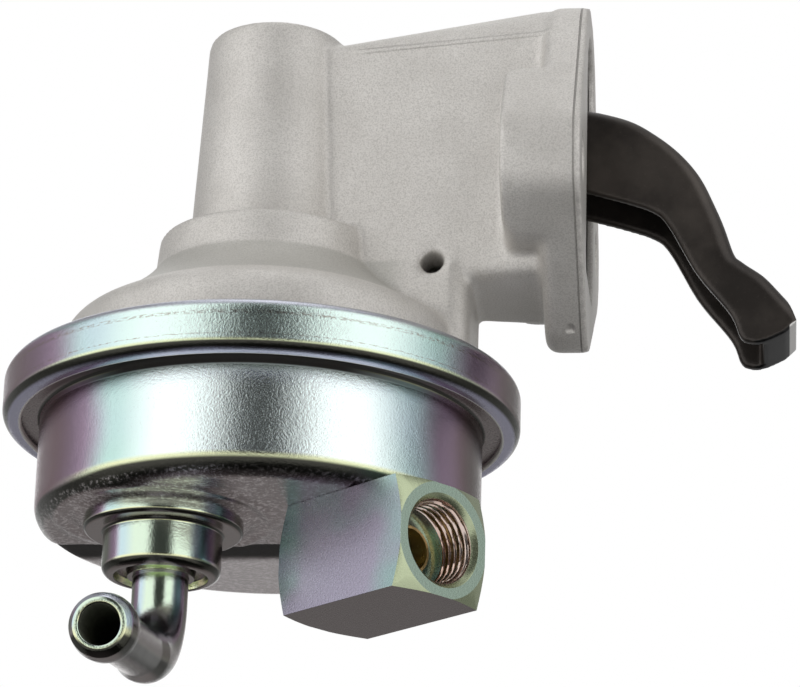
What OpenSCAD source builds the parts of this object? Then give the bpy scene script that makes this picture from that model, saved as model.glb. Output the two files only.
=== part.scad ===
// A mechanical fuel pump: a cast housing with a rocker arm, crimped to a pressed steel can.
// All sizes are in millimetres. +X points out of the mounting face, +Z is up, and the origin
// is on that face, midway between the two bolt holes.
// The modules are drawn on the pump's own axis, with z = 0 at the bottom of the crimp ring.

/* [Mounting flange] */
// Distance from the pump's axis to the mounting face
face_x = 64; // [63:0.5:70]
// Height of the bolt holes above the bottom of the crimp ring
hole_z = 48; // [46:0.5:52]
// Distance between the two bolt holes
bolt_gap = 51; // [49:0.5:58]
// Diameter of each bolt hole
bolt_hole_d = 8.7; // [6:0.1:10]
// Thickness of the flange
flange_t = 8.5; // [6:0.5:10]
// Radius of the flange's ears round the bolt holes
ear_r = 11; // [9:0.5:13]
// Straight length on the side of each ear
ear_len = 2; // [1:0.5:4]
// Height of the top of the flange above the bottom of the crimp ring
flange_top_z = 89.5; // [87:0.5:94]
// Radius of the flange's arched top
flange_top_r = 20; // [17:0.5:22]
// Height of the bottom of the flange above the bottom of the crimp ring
flange_bottom_z = 17.5; // [14:0.5:20]
// Radius of the flange's bottom
flange_bottom_r = 9; // [6:0.5:12]
// Rounding of the flange's back edge
flange_round = 2.5; // [1:0.5:3]
// Length of the bosses behind the bolt holes
boss_len = 7; // [3:0.5:9]
// Height of the top of the bosses
boss_top_z = 66.5; // [65:0.5:69]
// Height of the bottom of the bosses
boss_bottom_z = 32; // [31:0.5:36]
// Rounding of the bosses' corners
boss_round = 3; // [1:0.5:4]

/* [Flange opening] */
// Width of the opening in the mounting face
opening_w = 24.4; // [21:0.2:26]
// Height of the top of the opening
opening_top_z = 83.4; // [81:0.2:85]
// Height of the bottom of the opening
opening_bottom_z = 30.5; // [30:0.5:36]
// Rounding of the opening's lower corners
opening_round = 4; // [2:0.5:6]

/* [Housing] */
// Width of the housing where it leaves the tower
housing_w = 18; // [17:0.2:20]
// Width of the housing where it meets the flange
housing_flange_w = 31.6; // [30:0.2:36]
// Height of the housing's underside beside the flange
housing_bottom_z = 28; // [26:0.5:29]
// Height of the long edges where the walls meet the roof
shoulder_z = 78.8; // [77:0.2:80]
// Height of the roof's ridge where it leaves the tower
ridge_z = 82.3; // [81:0.2:84]
// Height of the roof's ridge where it meets the flange
ridge_flange_z = 89.3; // [85:0.2:89.5]
// Rounding of the edges along the underside
underside_round = 3; // [1:0.5:5]
// Thickness of the housing's side walls
housing_wall = 2.8; // [2:0.1:3]
// Thickness of the housing's roof
roof_t = 3.3; // [2:0.1:4]
// Gap between the crimp ring's upper lip and the block below the housing
block_gap = 4; // [3:0.5:5]
// Rounding of the block's upright corners
block_round = 4; // [2:0.5:5]
// Height of the floor inside the housing
floor_z = 41; // [39:0.5:42]
// Diameter of the weep hole in the near wall
weep_d = 4.6; // [2:0.2:6]
// Distance of the weep hole inside the bell's wall
weep_step = 6.3; // [6:0.1:7.3]
// Height of the weep hole
weep_z = 31.5; // [31:0.5:33]
// Diameter of the pocket that joins the weep hole to the bell
weep_pocket_d = 7; // [6:0.5:8]

/* [Spring tower] */
// Radius of the tower at its foot
tower_r = 16; // [15.5:0.1:17]
// Radius of the tower at its top
tower_top_r = 14; // [13.8:0.1:15]
// Height of the top of the tower
tower_top_z = 84; // [83.5:0.5:87]
// Rounding of the tower's top edge
tower_round = 2; // [1:0.5:3]
// Radius of the bore inside the tower
tower_bore_r = 11; // [10:0.1:11.4]
// Thickness of the tower's closed top
tower_cap_t = 4; // [2:0.5:5]

/* [Bell] */
// Distance of the bell's straight wall inside the crimp ring's edge
bell_step = 10.5; // [8.8:0.1:11.3]
// Height where the bell's wall starts to turn in
bell_turn_z = 15; // [13:0.5:16]
// Radius of the bell's shoulder
bell_shoulder_r = 7; // [5:0.5:9]
// Thickness of the bell's wall
bell_wall = 3.3; // [2.5:0.1:4]
// Radius of the collar above the bell, at its foot
collar_r = 22.4; // [21.5:0.1:24]
// Radius of the collar at its top
collar_top_r = 21.9; // [20:0.1:23]
// Height of the collar's foot
collar_z = 32.5; // [31.5:0.5:34]
// Height of the collar's top
collar_top_z = 39.8; // [38:0.2:42]
// Height of the ceiling inside the bell
bell_ceiling_z = 28.5; // [27:0.5:29]
// Radius of the flat ceiling inside the bell
bell_ceiling_r = 19.5; // [17:0.5:20]

/* [Crimp ring and can] */
// Outer radius of the crimp ring
ring_r = 50.8; // [50:0.1:54]
// Rounding of the crimp ring's outer edges
ring_round = 2; // [1:0.5:2.5]
// Thickness of the steel sheet of the ring and the can
sheet_t = 1.2; // [0.8:0.1:1.5]
// Width of the crimp ring's lower lip
lower_lip_w = 3.8; // [2.8:0.1:4.8]
// Width of the crimp ring's upper lip
upper_lip_w = 5.3; // [3.8:0.1:6.8]
// Thickness of the casting's rim inside the crimp ring
rim_t = 3.8; // [3:0.1:5]
// Distance of the can's wall inside the crimp ring's edge
can_step = 7.4; // [6.8:0.1:7.8]
// Depth of the can's floor below the bottom of the crimp ring
can_depth = 20.6; // [19.8:0.2:24]
// Rounding of the can's lower edge
can_round = 2.5; // [2:0.5:3]
// Rounding between the can's wall and its flange
can_neck_round = 1; // [0.5:0.1:1.5]
// Depth of the pressed pad under the ports
pad_t = 0.8; // [0.4:0.1:1.2]
// Distance of the pad's straight edge behind the pump's axis
pad_y = 3; // [1:0.5:6]
// Diameter of the fuel ways through the can's floor
fuel_way_d = 8; // [5:0.5:9]

/* [Inlet] */
// Place of the inlet boss along X
inlet_x = -15.9; // [-17:0.1:-14]
// Place of the inlet boss along Y
inlet_y = -14.3; // [-16:0.1:-13]
// Radius of the shallow swell round the inlet boss
swell_r = 19.5; // [18:0.5:21]
// Height of that swell
swell_t = 0.6; // [0.3:0.1:1]
// Radius of the boss's disc
inlet_disc_r = 15.3; // [14:0.1:16]
// Thickness of the boss's disc
inlet_disc_t = 2.6; // [2:0.1:3]
// Radius of the boss's cup
inlet_cup_r = 11.4; // [10.5:0.1:13]
// Length of the boss's cup
inlet_cup_len = 8.7; // [7:0.1:12]
// Rounding of the cup's lower edge
inlet_cup_round = 2; // [1:0.5:2.5]
// Radius of the inlet tube
tube_r = 5.35; // [5:0.05:5.6]
// Radius of the fuel bore in the tube
tube_bore_r = 3.75; // [3:0.05:4]
// Length of tube held inside the boss
tube_seat_len = 8.3; // [6:0.1:8.5]
// Distance from the cup's end to where the tube's two straight axes meet
tube_drop = 16.6; // [15:0.1:22]
// Radius of the tube's bend
tube_bend_r = 13; // [10:0.5:14]
// Length from where the axes meet to the nipple's mouth
nipple_len = 48; // [40:0.5:60]
// Angle of the nipple below level
nipple_dip = 7; // [0:0.5:15]
// Turn of the nipple about the boss, from straight ahead
nipple_turn = -2.3; // [-20:0.1:10]
// Radius of the nipple
nipple_r = 4.8; // [4.5:0.05:5]
// Radius of the hose bead
bead_r = 6.2; // [5.6:0.1:7]
// Length of the bead's straight land
bead_land = 2; // [1:0.1:4]
// Distance from the mouth to the bead's rear shoulder
bead_len = 6.5; // [6.2:0.1:9]

/* [Outlet] */
// Distance of the outlet block's middle from the pump's axis
outlet_r = 36; // [34:0.2:37]
// Turn of the outlet block about the pump's axis
outlet_turn = -41; // [-46:0.5:-38]
// Width across the outlet block's flats
outlet_flat = 21.4; // [20.5:0.1:23]
// Diameter of the bar's turned corners
outlet_corner_d = 30.2; // [28:0.1:30.2]
// Length of the outlet block
outlet_len = 33.4; // [32:0.2:36]
// Length of the cones at the block's two ends
outlet_cone = 1.9; // [1:0.1:3]
// Radius of the round end faces
outlet_face_r = 11; // [10.5:0.1:12]
// Radius of the port's thread
port_r = 8; // [7:0.1:8.3]
// Depth of the port's thread
port_depth = 8.3; // [7.5:0.1:9]
// Radius of the undercut behind the thread
relief_r = 8.4; // [8.2:0.1:8.8]
// Length of that undercut
relief_len = 3.7; // [3:0.1:4.5]
// Depth of the chamfer at the port's mouth
port_chamfer = 0.95; // [0.5:0.05:1.5]
// Radius of the flare seat's pocket
seat_r = 6.5; // [6:0.1:6.8]
// Depth of the flare seat's pocket
seat_depth = 4; // [3:0.5:5]
// Radius of the bore through the flare seat
seat_bore_r = 4; // [3:0.1:4.4]
// Distance from the end of the thread back to the tip of the flare seat's cone
seat_back = 0.3; // [0.2:0.1:1]
// Radius of the passage behind the seat
passage_r = 3.5; // [3:0.1:4]
// Distance from the pump's axis to the upright drilling
drilling_r = 27; // [26:0.5:28]

/* [Diaphragm] */
// Thickness of the diaphragm
diaphragm_t = 1.3; // [1:0.1:2]
// Width of the fold between the diaphragm's flat middle and its clamped rim
fold_width = 10.2; // [9.2:0.1:11.2]
// Depth of that fold
fold_depth = 5; // [3:0.5:6]
// Width of the diaphragm's flat middle outside the upper plate
plate_margin = 2; // [1:0.5:3]
// Step from the upper plate's edge in to the lower plate's edge
plate_step = 2; // [1:0.5:3]
// Thickness of both plates
plate_t = 1.2; // [0.8:0.1:1.6]
// Radius of the pull rod
rod_r = 3; // [2.6:0.1:3.2]
// Height of the pull rod's shoulder below the link
rod_shoulder_z = 47.2; // [46.5:0.1:47.4]
// Radius of the rod's neck in the link's slot
rod_neck_r = 2.2; // [1.8:0.1:2.3]
// Radius of the rod's head
rod_head_r = 4.5; // [4:0.1:4.6]
// Thickness of the rod's head
rod_head_t = 2.2; // [1.5:0.1:2.4]
// Thickness of the washer under the lower plate
washer_t = 1; // [0.6:0.1:1.2]
// Radius of that washer
washer_r = 7; // [5:0.5:9]
// Thickness of the riveted end of the rod
rivet_t = 1.2; // [0.8:0.1:1.4]
// Radius of the riveted end of the rod
rivet_r = 4.4; // [4:0.1:4.6]
// Mean radius of the diaphragm spring
diaphragm_spring_r = 15; // [13:0.5:16]
// Radius of the diaphragm spring's wire
diaphragm_wire_r = 1.1; // [0.8:0.1:1.3]
// Turns of the diaphragm spring
diaphragm_turns = 6; // [5:1:7]
// Radius of the oil seal
seal_r = 8; // [7:0.1:9]
// Thickness of the oil seal
seal_t = 4.5; // [3:0.5:5]
// Thickness of the oil seal's retainer
retainer_t = 1.6; // [1:0.1:1.8]

/* [Valve body] */
// Thickness of the valve body's rim
valve_rim_t = 1.5; // [1:0.1:2.5]
// Gap between the valve body's cup and the can's wall
cup_gap = 3.9; // [3.4:0.1:4]
// Thickness of the cup's wall
valve_wall = 1.8; // [1.2:0.1:2]
// Depth of the cup's inner floor below the bottom of the crimp ring
valve_floor_depth = 8; // [7.6:0.1:8.5]
// Thickness of the cup's floor
valve_floor_t = 2; // [1.5:0.1:2.4]
// Thickness of the wall between the inlet and outlet chambers
divider_t = 1.8; // [1.2:0.1:2.6]
// Distance of each valve from the pump's axis
valve_x = 18; // [17:0.5:20]
// Outer radius of each valve's cage
cage_r = 8; // [7.8:0.1:8.6]
// Radius of each valve's seat hole
valve_seat_r = 4.5; // [3.5:0.1:5.5]
// Radius of each valve disc
valve_disc_r = 6.5; // [6.3:0.1:6.7]
// Thickness of each valve disc
valve_disc_t = 1; // [0.6:0.1:1.1]
// Length of each valve's cage beyond its seat
cage_len = 5.7; // [5.5:0.1:5.8]
// Thickness of the cage's far end
cage_roof_t = 0.8; // [0.6:0.1:1]
// Width of each of the cage's three windows
cage_window = 7; // [5:0.5:8]
// Radius of the hole in the cage's far end
cage_vent_r = 1.6; // [1:0.1:2.4]
// Gap between the valve disc and the cage round it
cage_play = 0.35; // [0.2:0.05:0.5]
// Mean radius of the valve springs
valve_spring_r = 3.4; // [3:0.1:4]
// Radius of the valve springs' wire
valve_wire_r = 0.35; // [0.25:0.05:0.4]
// Turns of each valve spring
valve_turns = 4; // [3:1:4]

/* [Rocker arm and link] */
// Reach of the arm's tip from the pivot
arm_reach = 48.7; // [46:0.1:51]
// Distance of the pivot behind the mounting face
pivot_back = 8; // [7.5:0.1:8.4]
// Height of the pivot above the bottom of the crimp ring
pivot_z = 59; // [58.5:0.1:59.5]
// Radius of the pivot pin
pin_r = 4; // [3.5:0.1:4.4]
// Length of the pivot pin
pin_len = 36; // [34:0.5:38]
// Thickness of the plug at the end of the pin
plug_t = 3; // [2:0.5:4]
// Outer width of the arm's channel
arm_w = 16.6; // [16:0.1:17.2]
// Thickness of the arm's sheet
arm_t = 2.2; // [1.8:0.1:2.3]
// Height of the arm's back above the pivot
arm_rise = 8.3; // [8:0.1:9]
// Gap on each side between the arm's cheeks and its inner tongue
tongue_gap = 0.9; // [0.6:0.1:1.5]
// Radius of the spring seat on the tongue
spring_seat_r = 7.8; // [7.5:0.1:8.5]
// Height of the top of the spring seat
tongue_z = 58.6; // [58.4:0.1:59]
// Gap between the link's hub and the arm's web
hub_gap = 0.5; // [0.4:0.1:0.8]
// Gap on each side between the link's hub and the arm's cheeks
hub_play = 0.3; // [0.2:0.1:0.6]
// Step on each side from the link's hub in to its strap
strap_step = 0.8; // [0.5:0.1:1.2]
// Thickness of the link's strap
strap_t = 3; // [2.4:0.1:3.1]
// Height of the middle of the strap's flat end
strap_z = 49.5; // [49.4:0.05:49.6]
// Width of the slot that holds the rod's neck
slot_w = 4.8; // [4.7:0.1:5.4]
// Mean radius of the return spring
return_spring_r = 6.6; // [6:0.1:6.7]
// Radius of the return spring's wire
return_wire_r = 0.9; // [0.6:0.1:1]
// Turns of the return spring
return_turns = 6; // [5:1:6]

/* [Fits] */
// Gap between parts that are pressed or crimped together
press_gap = 0.02; // [0.01:0.01:0.03]
// Gap between the pin and what turns on it, and between the rod and its seal
run_gap = 0.05; // [0.03:0.01:0.08]
// Gap between soft or loose parts and what they rest on
seat_gap = 0.1; // [0.05:0.05:0.2]

/* [Hidden] */
$fn = 96;
// Extra length of a cut, so that it passes right through a face
cut = 0.5;
// Number of facets of the round parts inside a hull
hull_fn = 40;

// Radii that follow the crimp ring's edge
lower_lip_r = ring_r - lower_lip_w;
upper_lip_r = ring_r - upper_lip_w;
can_r = ring_r - can_step;
bell_r = ring_r - bell_step;
weep_x = bell_r - weep_step;
block_x = upper_lip_r - block_gap;
valve_cup_r = can_r - sheet_t - cup_gap - valve_wall;
diaphragm_clamp_r = valve_cup_r - 3 * seat_gap;
diaphragm_flat_r = diaphragm_clamp_r - fold_width;
upper_plate_r = diaphragm_flat_r - plate_margin;
lower_plate_r = upper_plate_r - plate_step;
// Heights of the parts clamped inside the crimp ring, from the lower lip up
can_flange_z = sheet_t;
valve_rim_z = can_flange_z + sheet_t;
clamp_z = valve_rim_z + valve_rim_t;
rim_z = clamp_z + diaphragm_t;
rim_top_z = rim_z + rim_t;
ring_h = rim_top_z + sheet_t;
rim_r = ring_r - sheet_t - seat_gap;
// Underside of the can, at the pad and beside it, and of the parts on the pad
floor_out_z = -can_depth;
pad_z = floor_out_z - pad_t;
disc_z = pad_z - swell_t;
cup_z = disc_z - inlet_disc_t;
cup_end_z = cup_z - inlet_cup_len;
tube_top_z = cup_end_z + tube_seat_len;
tube_corner_z = cup_end_z - tube_drop;
tube_turn = 90 - nipple_dip;
tube_straight = tube_bend_r * tan(tube_turn / 2);
// Valve body heights
valve_floor_z = -valve_floor_depth;
valve_under_z = valve_floor_z - valve_floor_t;
valve_stroke = 1.2;
// Housing and pivot
pivot_x = face_x - pivot_back;
flange_x = face_x - flange_t;
housing_x = 12;
housing_start_x = 8;
housing_slope = (housing_flange_w - housing_w) / 2 / (flange_x - housing_x);
ridge_slope = (ridge_flange_z - ridge_z) / (flange_x - housing_x);
bore_top_z = tower_top_z - tower_cap_t;
seal_pocket_z = bell_ceiling_z + seal_t + retainer_t + 4 * seat_gap;
washer_z = -plate_t - washer_t;
head_z = strap_z + strap_t / 2 + 0.75;
arm_in = arm_w / 2 - arm_t;
tongue_w = 2 * (arm_in - tongue_gap);
hub_r = arm_rise - arm_t - hub_gap;
hub_w = 2 * (arm_in - hub_play);
strap_w = hub_w - 2 * strap_step;

function half_at(x) = housing_w / 2 + housing_slope * (x - housing_x);
function ridge_at(x) = ridge_z + ridge_slope * (x - housing_x);
// Points along an arc, from angle a0 to angle a1 in n steps
function arc(cx, cy, r, a0, a1, n) =
    [for (i = [0:n]) let (a = a0 + (a1 - a0) * i / n) [cx + r * cos(a), cy + r * sin(a)]];
// Points along a curve from p to q that is drawn towards c, without its first point
function bow(p, c, q, n) =
    [for (i = [1:n]) let (t = i / n) (1 - t) * (1 - t) * p + 2 * t * (1 - t) * c + t * t * q];
// A smooth curve through the points p, with n steps between each pair
function smooth(p, n) = concat([for (i = [0:len(p) - 2]) for (k = [0:n - 1])
    let (t = k / n, a = p[max(i - 1, 0)], b = p[i], c = p[i + 1], d = p[min(i + 2, len(p) - 1)])
    0.5 * (2 * b + t * (c - a) + t * t * (2 * a - 5 * b + 4 * c - d)
           + t * t * t * (3 * b - a - 3 * c + d))], [p[len(p) - 1]]);
function unit(v) = v / norm(v);
// The points of a line moved to its right by d
function beside(p, d) = [for (i = [0:len(p) - 1])
    let (t = unit(p[min(i + 1, len(p) - 1)] - p[max(i - 1, 0)])) p[i] + d * [t[1], -t[0]]];
function reverse(p) = [for (i = [len(p) - 1:-1:0]) p[i]];
// Angle of the outward normal of the line that touches two circles [centre, radius]
function touch_angle(a, b) = let (v = b[0] - a[0])
    atan2(v[1], v[0]) - acos((a[1] - b[1]) / norm(v));

// Moves a part from the pump's axis to the frame of the mounting face
module in_place() { translate([-face_x, 0, -hole_z]) children(); }
// Turns a flat drawing of (y, z) into a slab from x to x + t
module along_x(x, t) { translate([x, 0, 0]) rotate([90, 0, 90]) linear_extrude(t) children(); }
// Turns a flat drawing of (x, z) into a slab of width w across Y
module across_y(w) { rotate([90, 0, 0]) translate([0, 0, -w / 2]) linear_extrude(w) children(); }
// A plain cylinder along +Y, from y0 to y1
module rod_y(x, z, r, y0, y1) { translate([x, y0, z]) rotate([-90, 0, 0]) cylinder(h = y1 - y0, r = r); }
// A cylinder along Z, from z0 to z1
module post(r, z0, z1) { translate([0, 0, z0]) cylinder(h = z1 - z0, r = r); }
// A flat ring from z0 to z1
module ring(r, hole_r, z0, z1) {
    difference() {
        post(r, z0, z1);
        post(hole_r, z0 - cut, z1 + cut);
    }
}

// A coil spring from z0 to z1 with closed end turns, as one tube with s sides
module coil(r, wire_r, turns, z0, z1, s) {
    steps = 20 * turns;
    end_pitch = 2.15 * wire_r;
    mid_pitch = (z1 - z0 - 2 * wire_r - 2 * end_pitch) / (turns - 2);
    function rise(u) = z0 + wire_r + end_pitch * min(u, 1)
        + mid_pitch * min(max(u - 1, 0), turns - 2) + end_pitch * max(u - turns + 1, 0);
    pts = [for (i = [0:steps]) let (u = i / 20) for (k = [0:s - 1])
        let (b = 360 * k / s, q = r + wire_r * cos(b))
        [q * cos(360 * u), q * sin(360 * u), rise(u) + wire_r * sin(b)]];
    sides = [for (i = [0:steps - 1]) for (k = [0:s - 1])
        [i * s + k, (i + 1) * s + k, (i + 1) * s + (k + 1) % s, i * s + (k + 1) % s]];
    polyhedron(pts, concat([[for (k = [0:s - 1]) k]], sides,
                           [[for (k = [s - 1:-1:0]) steps * s + k]]), convexity = 6);
}

// Upper casting
bell_end = [bell_r - bell_shoulder_r, bell_turn_z] + bell_shoulder_r * [cos(62), sin(62)];
bell_in_end = [bell_r - bell_shoulder_r, bell_turn_z]
    + (bell_shoulder_r - bell_wall) * [cos(62), sin(62)];
module bell_and_tower() {
    rotate_extrude() polygon(concat(
        [[0, rim_z], [rim_r, rim_z], [rim_r, rim_top_z], [bell_r, rim_top_z]],
        arc(bell_r - bell_shoulder_r, bell_turn_z, bell_shoulder_r, 0, 62, 6),
        bow(bell_end, [collar_r + 4.1, collar_z - 6], [collar_r + 0.2, collar_z], 8),
        [[collar_r, collar_z + 0.4]],
        arc(collar_top_r - 1, collar_top_z - 1, 1, 0, 90, 3),
        [[tower_r, collar_top_z]],
        arc(tower_top_r - tower_round, tower_top_z - tower_round, tower_round, 0, 90, 5),
        [[0, tower_top_z]]));
}
module bell_cavity() {
    rotate_extrude() polygon(concat(
        [[0, rim_z - cut], [bell_r - bell_wall, rim_z - cut]],
        arc(bell_r - bell_shoulder_r, bell_turn_z, bell_shoulder_r - bell_wall, 0, 62, 5),
        bow(bell_in_end, [bell_ceiling_r + 5.7, bell_ceiling_z - 5.3],
            [bell_ceiling_r, bell_ceiling_z], 6),
        [[0, bell_ceiling_z]]));
}
// Section of the housing as (y, z) points: rounded lower corners and an arched roof
function housing_section(half, z0, zs, zr, r) =
    let (rise = zr - zs, roof_r = (half * half + rise * rise) / 2 / rise, a = asin(half / roof_r))
    concat(arc(-half + r, z0 + r, r, 180, 270, 5), arc(half - r, z0 + r, r, 270, 360, 5),
           arc(0, zr - roof_r, roof_r, 90 - a, 90 + a, 12));
module housing_outside() {
    hull() for (x = [housing_start_x, flange_x])
        along_x(x, 0.05) polygon(housing_section(half_at(x), housing_bottom_z, shoulder_z,
                                                 ridge_at(x), underside_round));
}
module housing_cavity() {
    difference() {
        hull() for (x = [housing_start_x, flange_x])
            along_x(x, 0.05) polygon(housing_section(half_at(x) - housing_wall,
                opening_bottom_z, shoulder_z - roof_t, ridge_at(x) - roof_t - 1.2, 2));
        translate([-cut, -ring_r, 0]) cube([block_x + 3 + cut, 2 * ring_r, floor_z]);
    }
}
module lower_block() {
    translate([0, 0, rim_top_z]) linear_extrude(housing_bottom_z + underside_round - rim_top_z)
        hull() for (side = [-1, 1]) {
            translate([block_x - block_round, side * (half_at(block_x) - block_round)])
                circle(r = block_round, $fn = hull_fn);
            translate([housing_start_x, side * (half_at(housing_start_x) - 1)])
                circle(r = 1, $fn = hull_fn);
        }
}
// The flange's outline: circles [[y, z], radius], anticlockwise from the bottom
flange_circles = [[[0, flange_bottom_z + flange_bottom_r], flange_bottom_r],
    [[bolt_gap / 2, hole_z - ear_len], ear_r], [[bolt_gap / 2, hole_z], ear_r],
    [[0, flange_top_z - flange_top_r], flange_top_r],
    [[-bolt_gap / 2, hole_z], ear_r], [[-bolt_gap / 2, hole_z - ear_len], ear_r]];
module flange_outline() {
    count = len(flange_circles);
    polygon([for (i = [0:count - 1]) let (a = flange_circles[i],
        b = flange_circles[(i + 1) % count], n = touch_angle(a, b), way = [cos(n), sin(n)])
        for (c = [a, b]) c[0] + c[1] * way]);
    for (c = flange_circles) translate(c[0]) circle(r = c[1]);
}
module flange_plate() {
    along_x(flange_x + flange_round, flange_t - flange_round) flange_outline();
    hull() for (a = [0:22.5:90]) for (c = flange_circles)
        along_x(flange_x + flange_round * (1 - cos(a)), 0.05)
            translate(c[0]) circle(r = c[1] - flange_round * (1 - sin(a)), $fn = 2 * hull_fn);
}
module bolt_bosses() {
    boss_x = flange_x - boss_len;
    intersection() {
        along_x(boss_x, boss_len + flange_round) flange_outline();
        across_y(4 * bolt_gap) {
            for (z = [boss_bottom_z + boss_round, boss_top_z - boss_round])
                translate([boss_x + boss_round, z]) circle(r = boss_round);
            translate([boss_x, boss_bottom_z + boss_round])
                square([boss_len, boss_top_z - boss_bottom_z - 2 * boss_round]);
            translate([boss_x + boss_round, boss_bottom_z])
                square([boss_len + flange_round, boss_top_z - boss_bottom_z]);
        }
    }
}
module flange_opening() {
    depth = flange_t + cut;
    arch_z = opening_top_z - opening_w / 2;
    corner_z = opening_bottom_z + opening_round;
    along_x(flange_x, depth) {
        translate([0, arch_z]) circle(d = opening_w);
        translate([-opening_w / 2, corner_z]) square([opening_w, arch_z - corner_z]);
        translate([opening_round - opening_w / 2, opening_bottom_z])
            square([opening_w - 2 * opening_round, corner_z - opening_bottom_z]);
        for (side = [-1, 1]) translate([side * (opening_w / 2 - opening_round), corner_z])
            circle(r = opening_round);
    }
}
module upper_casting() {
    bolt_x = flange_x - boss_len - cut;
    color([0.77, 0.75, 0.72]) in_place() difference() {
        union() {
            bell_and_tower();
            housing_outside();
            lower_block();
            flange_plate();
            bolt_bosses();
        }
        bell_cavity();
        housing_cavity();
        flange_opening();
        post(tower_bore_r, floor_z, bore_top_z);
        post(seal_r, bell_ceiling_z - cut, seal_pocket_z);
        post(rod_r + 4 * seat_gap, seal_pocket_z - cut, floor_z + cut);
        for (side = [-1, 1]) translate([bolt_x, side * bolt_gap / 2, hole_z])
            rotate([0, 90, 0]) cylinder(h = face_x - bolt_x + cut, d = bolt_hole_d);
        rod_y(pivot_x, pivot_z, pin_r + press_gap, -pin_len / 2 - cut, 2 * bolt_gap);
        translate([weep_x, 0, 0]) post(weep_pocket_d / 2, bell_turn_z, weep_z + weep_d / 2 + 1);
        rod_y(weep_x, weep_z, weep_d / 2, -2 * half_at(weep_x), 0);
    }
}

// Crimp ring
module crimp_ring() {
    color([0.70, 0.76, 0.78]) in_place() rotate_extrude() difference() {
        polygon(concat([[upper_lip_r, ring_h], [upper_lip_r, rim_top_z], [lower_lip_r, rim_top_z],
                        [lower_lip_r, 0]],
            arc(ring_r - ring_round, ring_round, ring_round, 270, 360, 6),
            arc(ring_r - ring_round, ring_h - ring_round, ring_round, 0, 90, 6)));
        translate([upper_lip_r - cut, sheet_t])
            square([ring_r - sheet_t - upper_lip_r + cut, rim_top_z - sheet_t]);
    }
}

// Lower shell: a deep-drawn can with a pressed pad under the ports
module can_outside(z) {
    rotate_extrude() polygon(concat([[0, valve_rim_z], [rim_r, valve_rim_z], [rim_r, can_flange_z]],
        arc(can_r + can_neck_round, can_flange_z - can_neck_round, can_neck_round, 90, 180, 4),
        arc(can_r - can_round, z + can_round, can_round, 0, -90, 6), [[0, z]]));
}
module can_inside(z) {
    rotate_extrude() polygon(concat([[0, valve_rim_z + cut], [can_r - sheet_t, valve_rim_z + cut]],
        arc(can_r - can_round, z + can_round, can_round - sheet_t, 0, -90, 5),
        [[0, z + sheet_t]]));
}
module in_front_of(y) {
    intersection() {
        children();
        translate([-2 * ring_r, y - 2 * ring_r, -2 * ring_r]) cube([4 * ring_r, 2 * ring_r, 4 * ring_r]);
    }
}
module lower_shell() {
    color([0.66, 0.72, 0.74]) in_place() difference() {
        union() {
            can_outside(floor_out_z);
            in_front_of(pad_y) can_outside(pad_z);
            translate([inlet_x, inlet_y, disc_z]) cylinder(h = swell_t + cut,
                r1 = inlet_disc_r + 0.3, r2 = swell_r + cut * (swell_r - inlet_disc_r) / swell_t);
        }
        can_inside(floor_out_z);
        in_front_of(pad_y - sheet_t) can_inside(pad_z);
        translate([inlet_x, inlet_y, 0]) post(fuel_way_d / 2, disc_z - cut, 0);
        rotate(outlet_turn) translate([drilling_r, 0, 0]) post(fuel_way_d / 2, pad_z - cut, 0);
    }
}

// Inlet boss: a disc and a cup that holds the tube
module inlet_boss() {
    groove_t = 1.5;
    color([0.62, 0.66, 0.60]) in_place() translate([inlet_x, inlet_y, 0]) rotate_extrude()
        polygon(concat([[fuel_way_d / 2, disc_z], [inlet_disc_r - 1, disc_z]],
            arc(inlet_disc_r - 1, cup_z + 1, 1, 0, -90, 4),
            [[inlet_cup_r, cup_z]],
            arc(inlet_cup_r - inlet_cup_round, cup_end_z + inlet_cup_round, inlet_cup_round,
                0, -90, 5),
            [[9, cup_end_z], [8.6, cup_end_z + groove_t], [6.6, cup_end_z + groove_t],
             [6.4, cup_end_z], [tube_r + press_gap, cup_end_z],
             [tube_r + press_gap, tube_top_z], [fuel_way_d / 2, tube_top_z]]));
}

// Inlet elbow: a bent tube with a beaded hose nipple
module nipple_frame() {
    translate([inlet_x, inlet_y, tube_corner_z]) rotate([0, 0, nipple_turn])
        rotate([90 + nipple_dip, 0, 0]) children();
}
// The bend is a hair thinner than the straight lengths and runs a little way into both,
// so that the surfaces don't lie in each other.
bend_lap = 1.5;
// The quarter of space with x above 0 and y below 0, as a block
module quarter() { reach = 2 * tube_bend_r; translate([0, -reach, -reach]) cube([reach, reach, 2 * reach]); }
module tube_path(r, extra) {
    translate([inlet_x, inlet_y, 0])
        post(r, tube_corner_z + tube_straight, tube_top_z + extra, $fn = 64);
    translate([inlet_x, inlet_y, tube_corner_z + tube_straight]) rotate([0, 0, nipple_turn])
        translate([0, -tube_bend_r, 0]) rotate([90, 0, 90]) intersection() {
            rotate_extrude($fn = 64) translate([tube_bend_r, 0]) circle(r = r - press_gap);
            rotate(bend_lap) quarter();
            rotate(90 - tube_turn - bend_lap) quarter();
        }
}
module inlet_elbow() {
    land_end = nipple_len - bead_len + 0.6 + bead_land;
    color([0.60, 0.64, 0.56]) in_place() difference() {
        union() {
            tube_path(tube_r, 0);
            nipple_frame() rotate_extrude() polygon(concat(
                [[0, tube_straight], [tube_r, tube_straight],
                 [tube_r, tube_straight + 1], [nipple_r, tube_straight + 5],
                 [nipple_r, nipple_len - bead_len], [bead_r, nipple_len - bead_len + 0.6],
                 [bead_r, land_end]],
                bow([bead_r, land_end], [bead_r - 0.3, nipple_len - 1],
                    [nipple_r + 0.1, nipple_len - 0.3], 5),
                [[nipple_r - 0.2, nipple_len], [0, nipple_len]]));
        }
        tube_path(tube_bore_r, cut);
        nipple_frame() translate([0, 0, tube_straight]) cylinder(h = nipple_len, r = tube_bore_r);
    }
}

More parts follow.
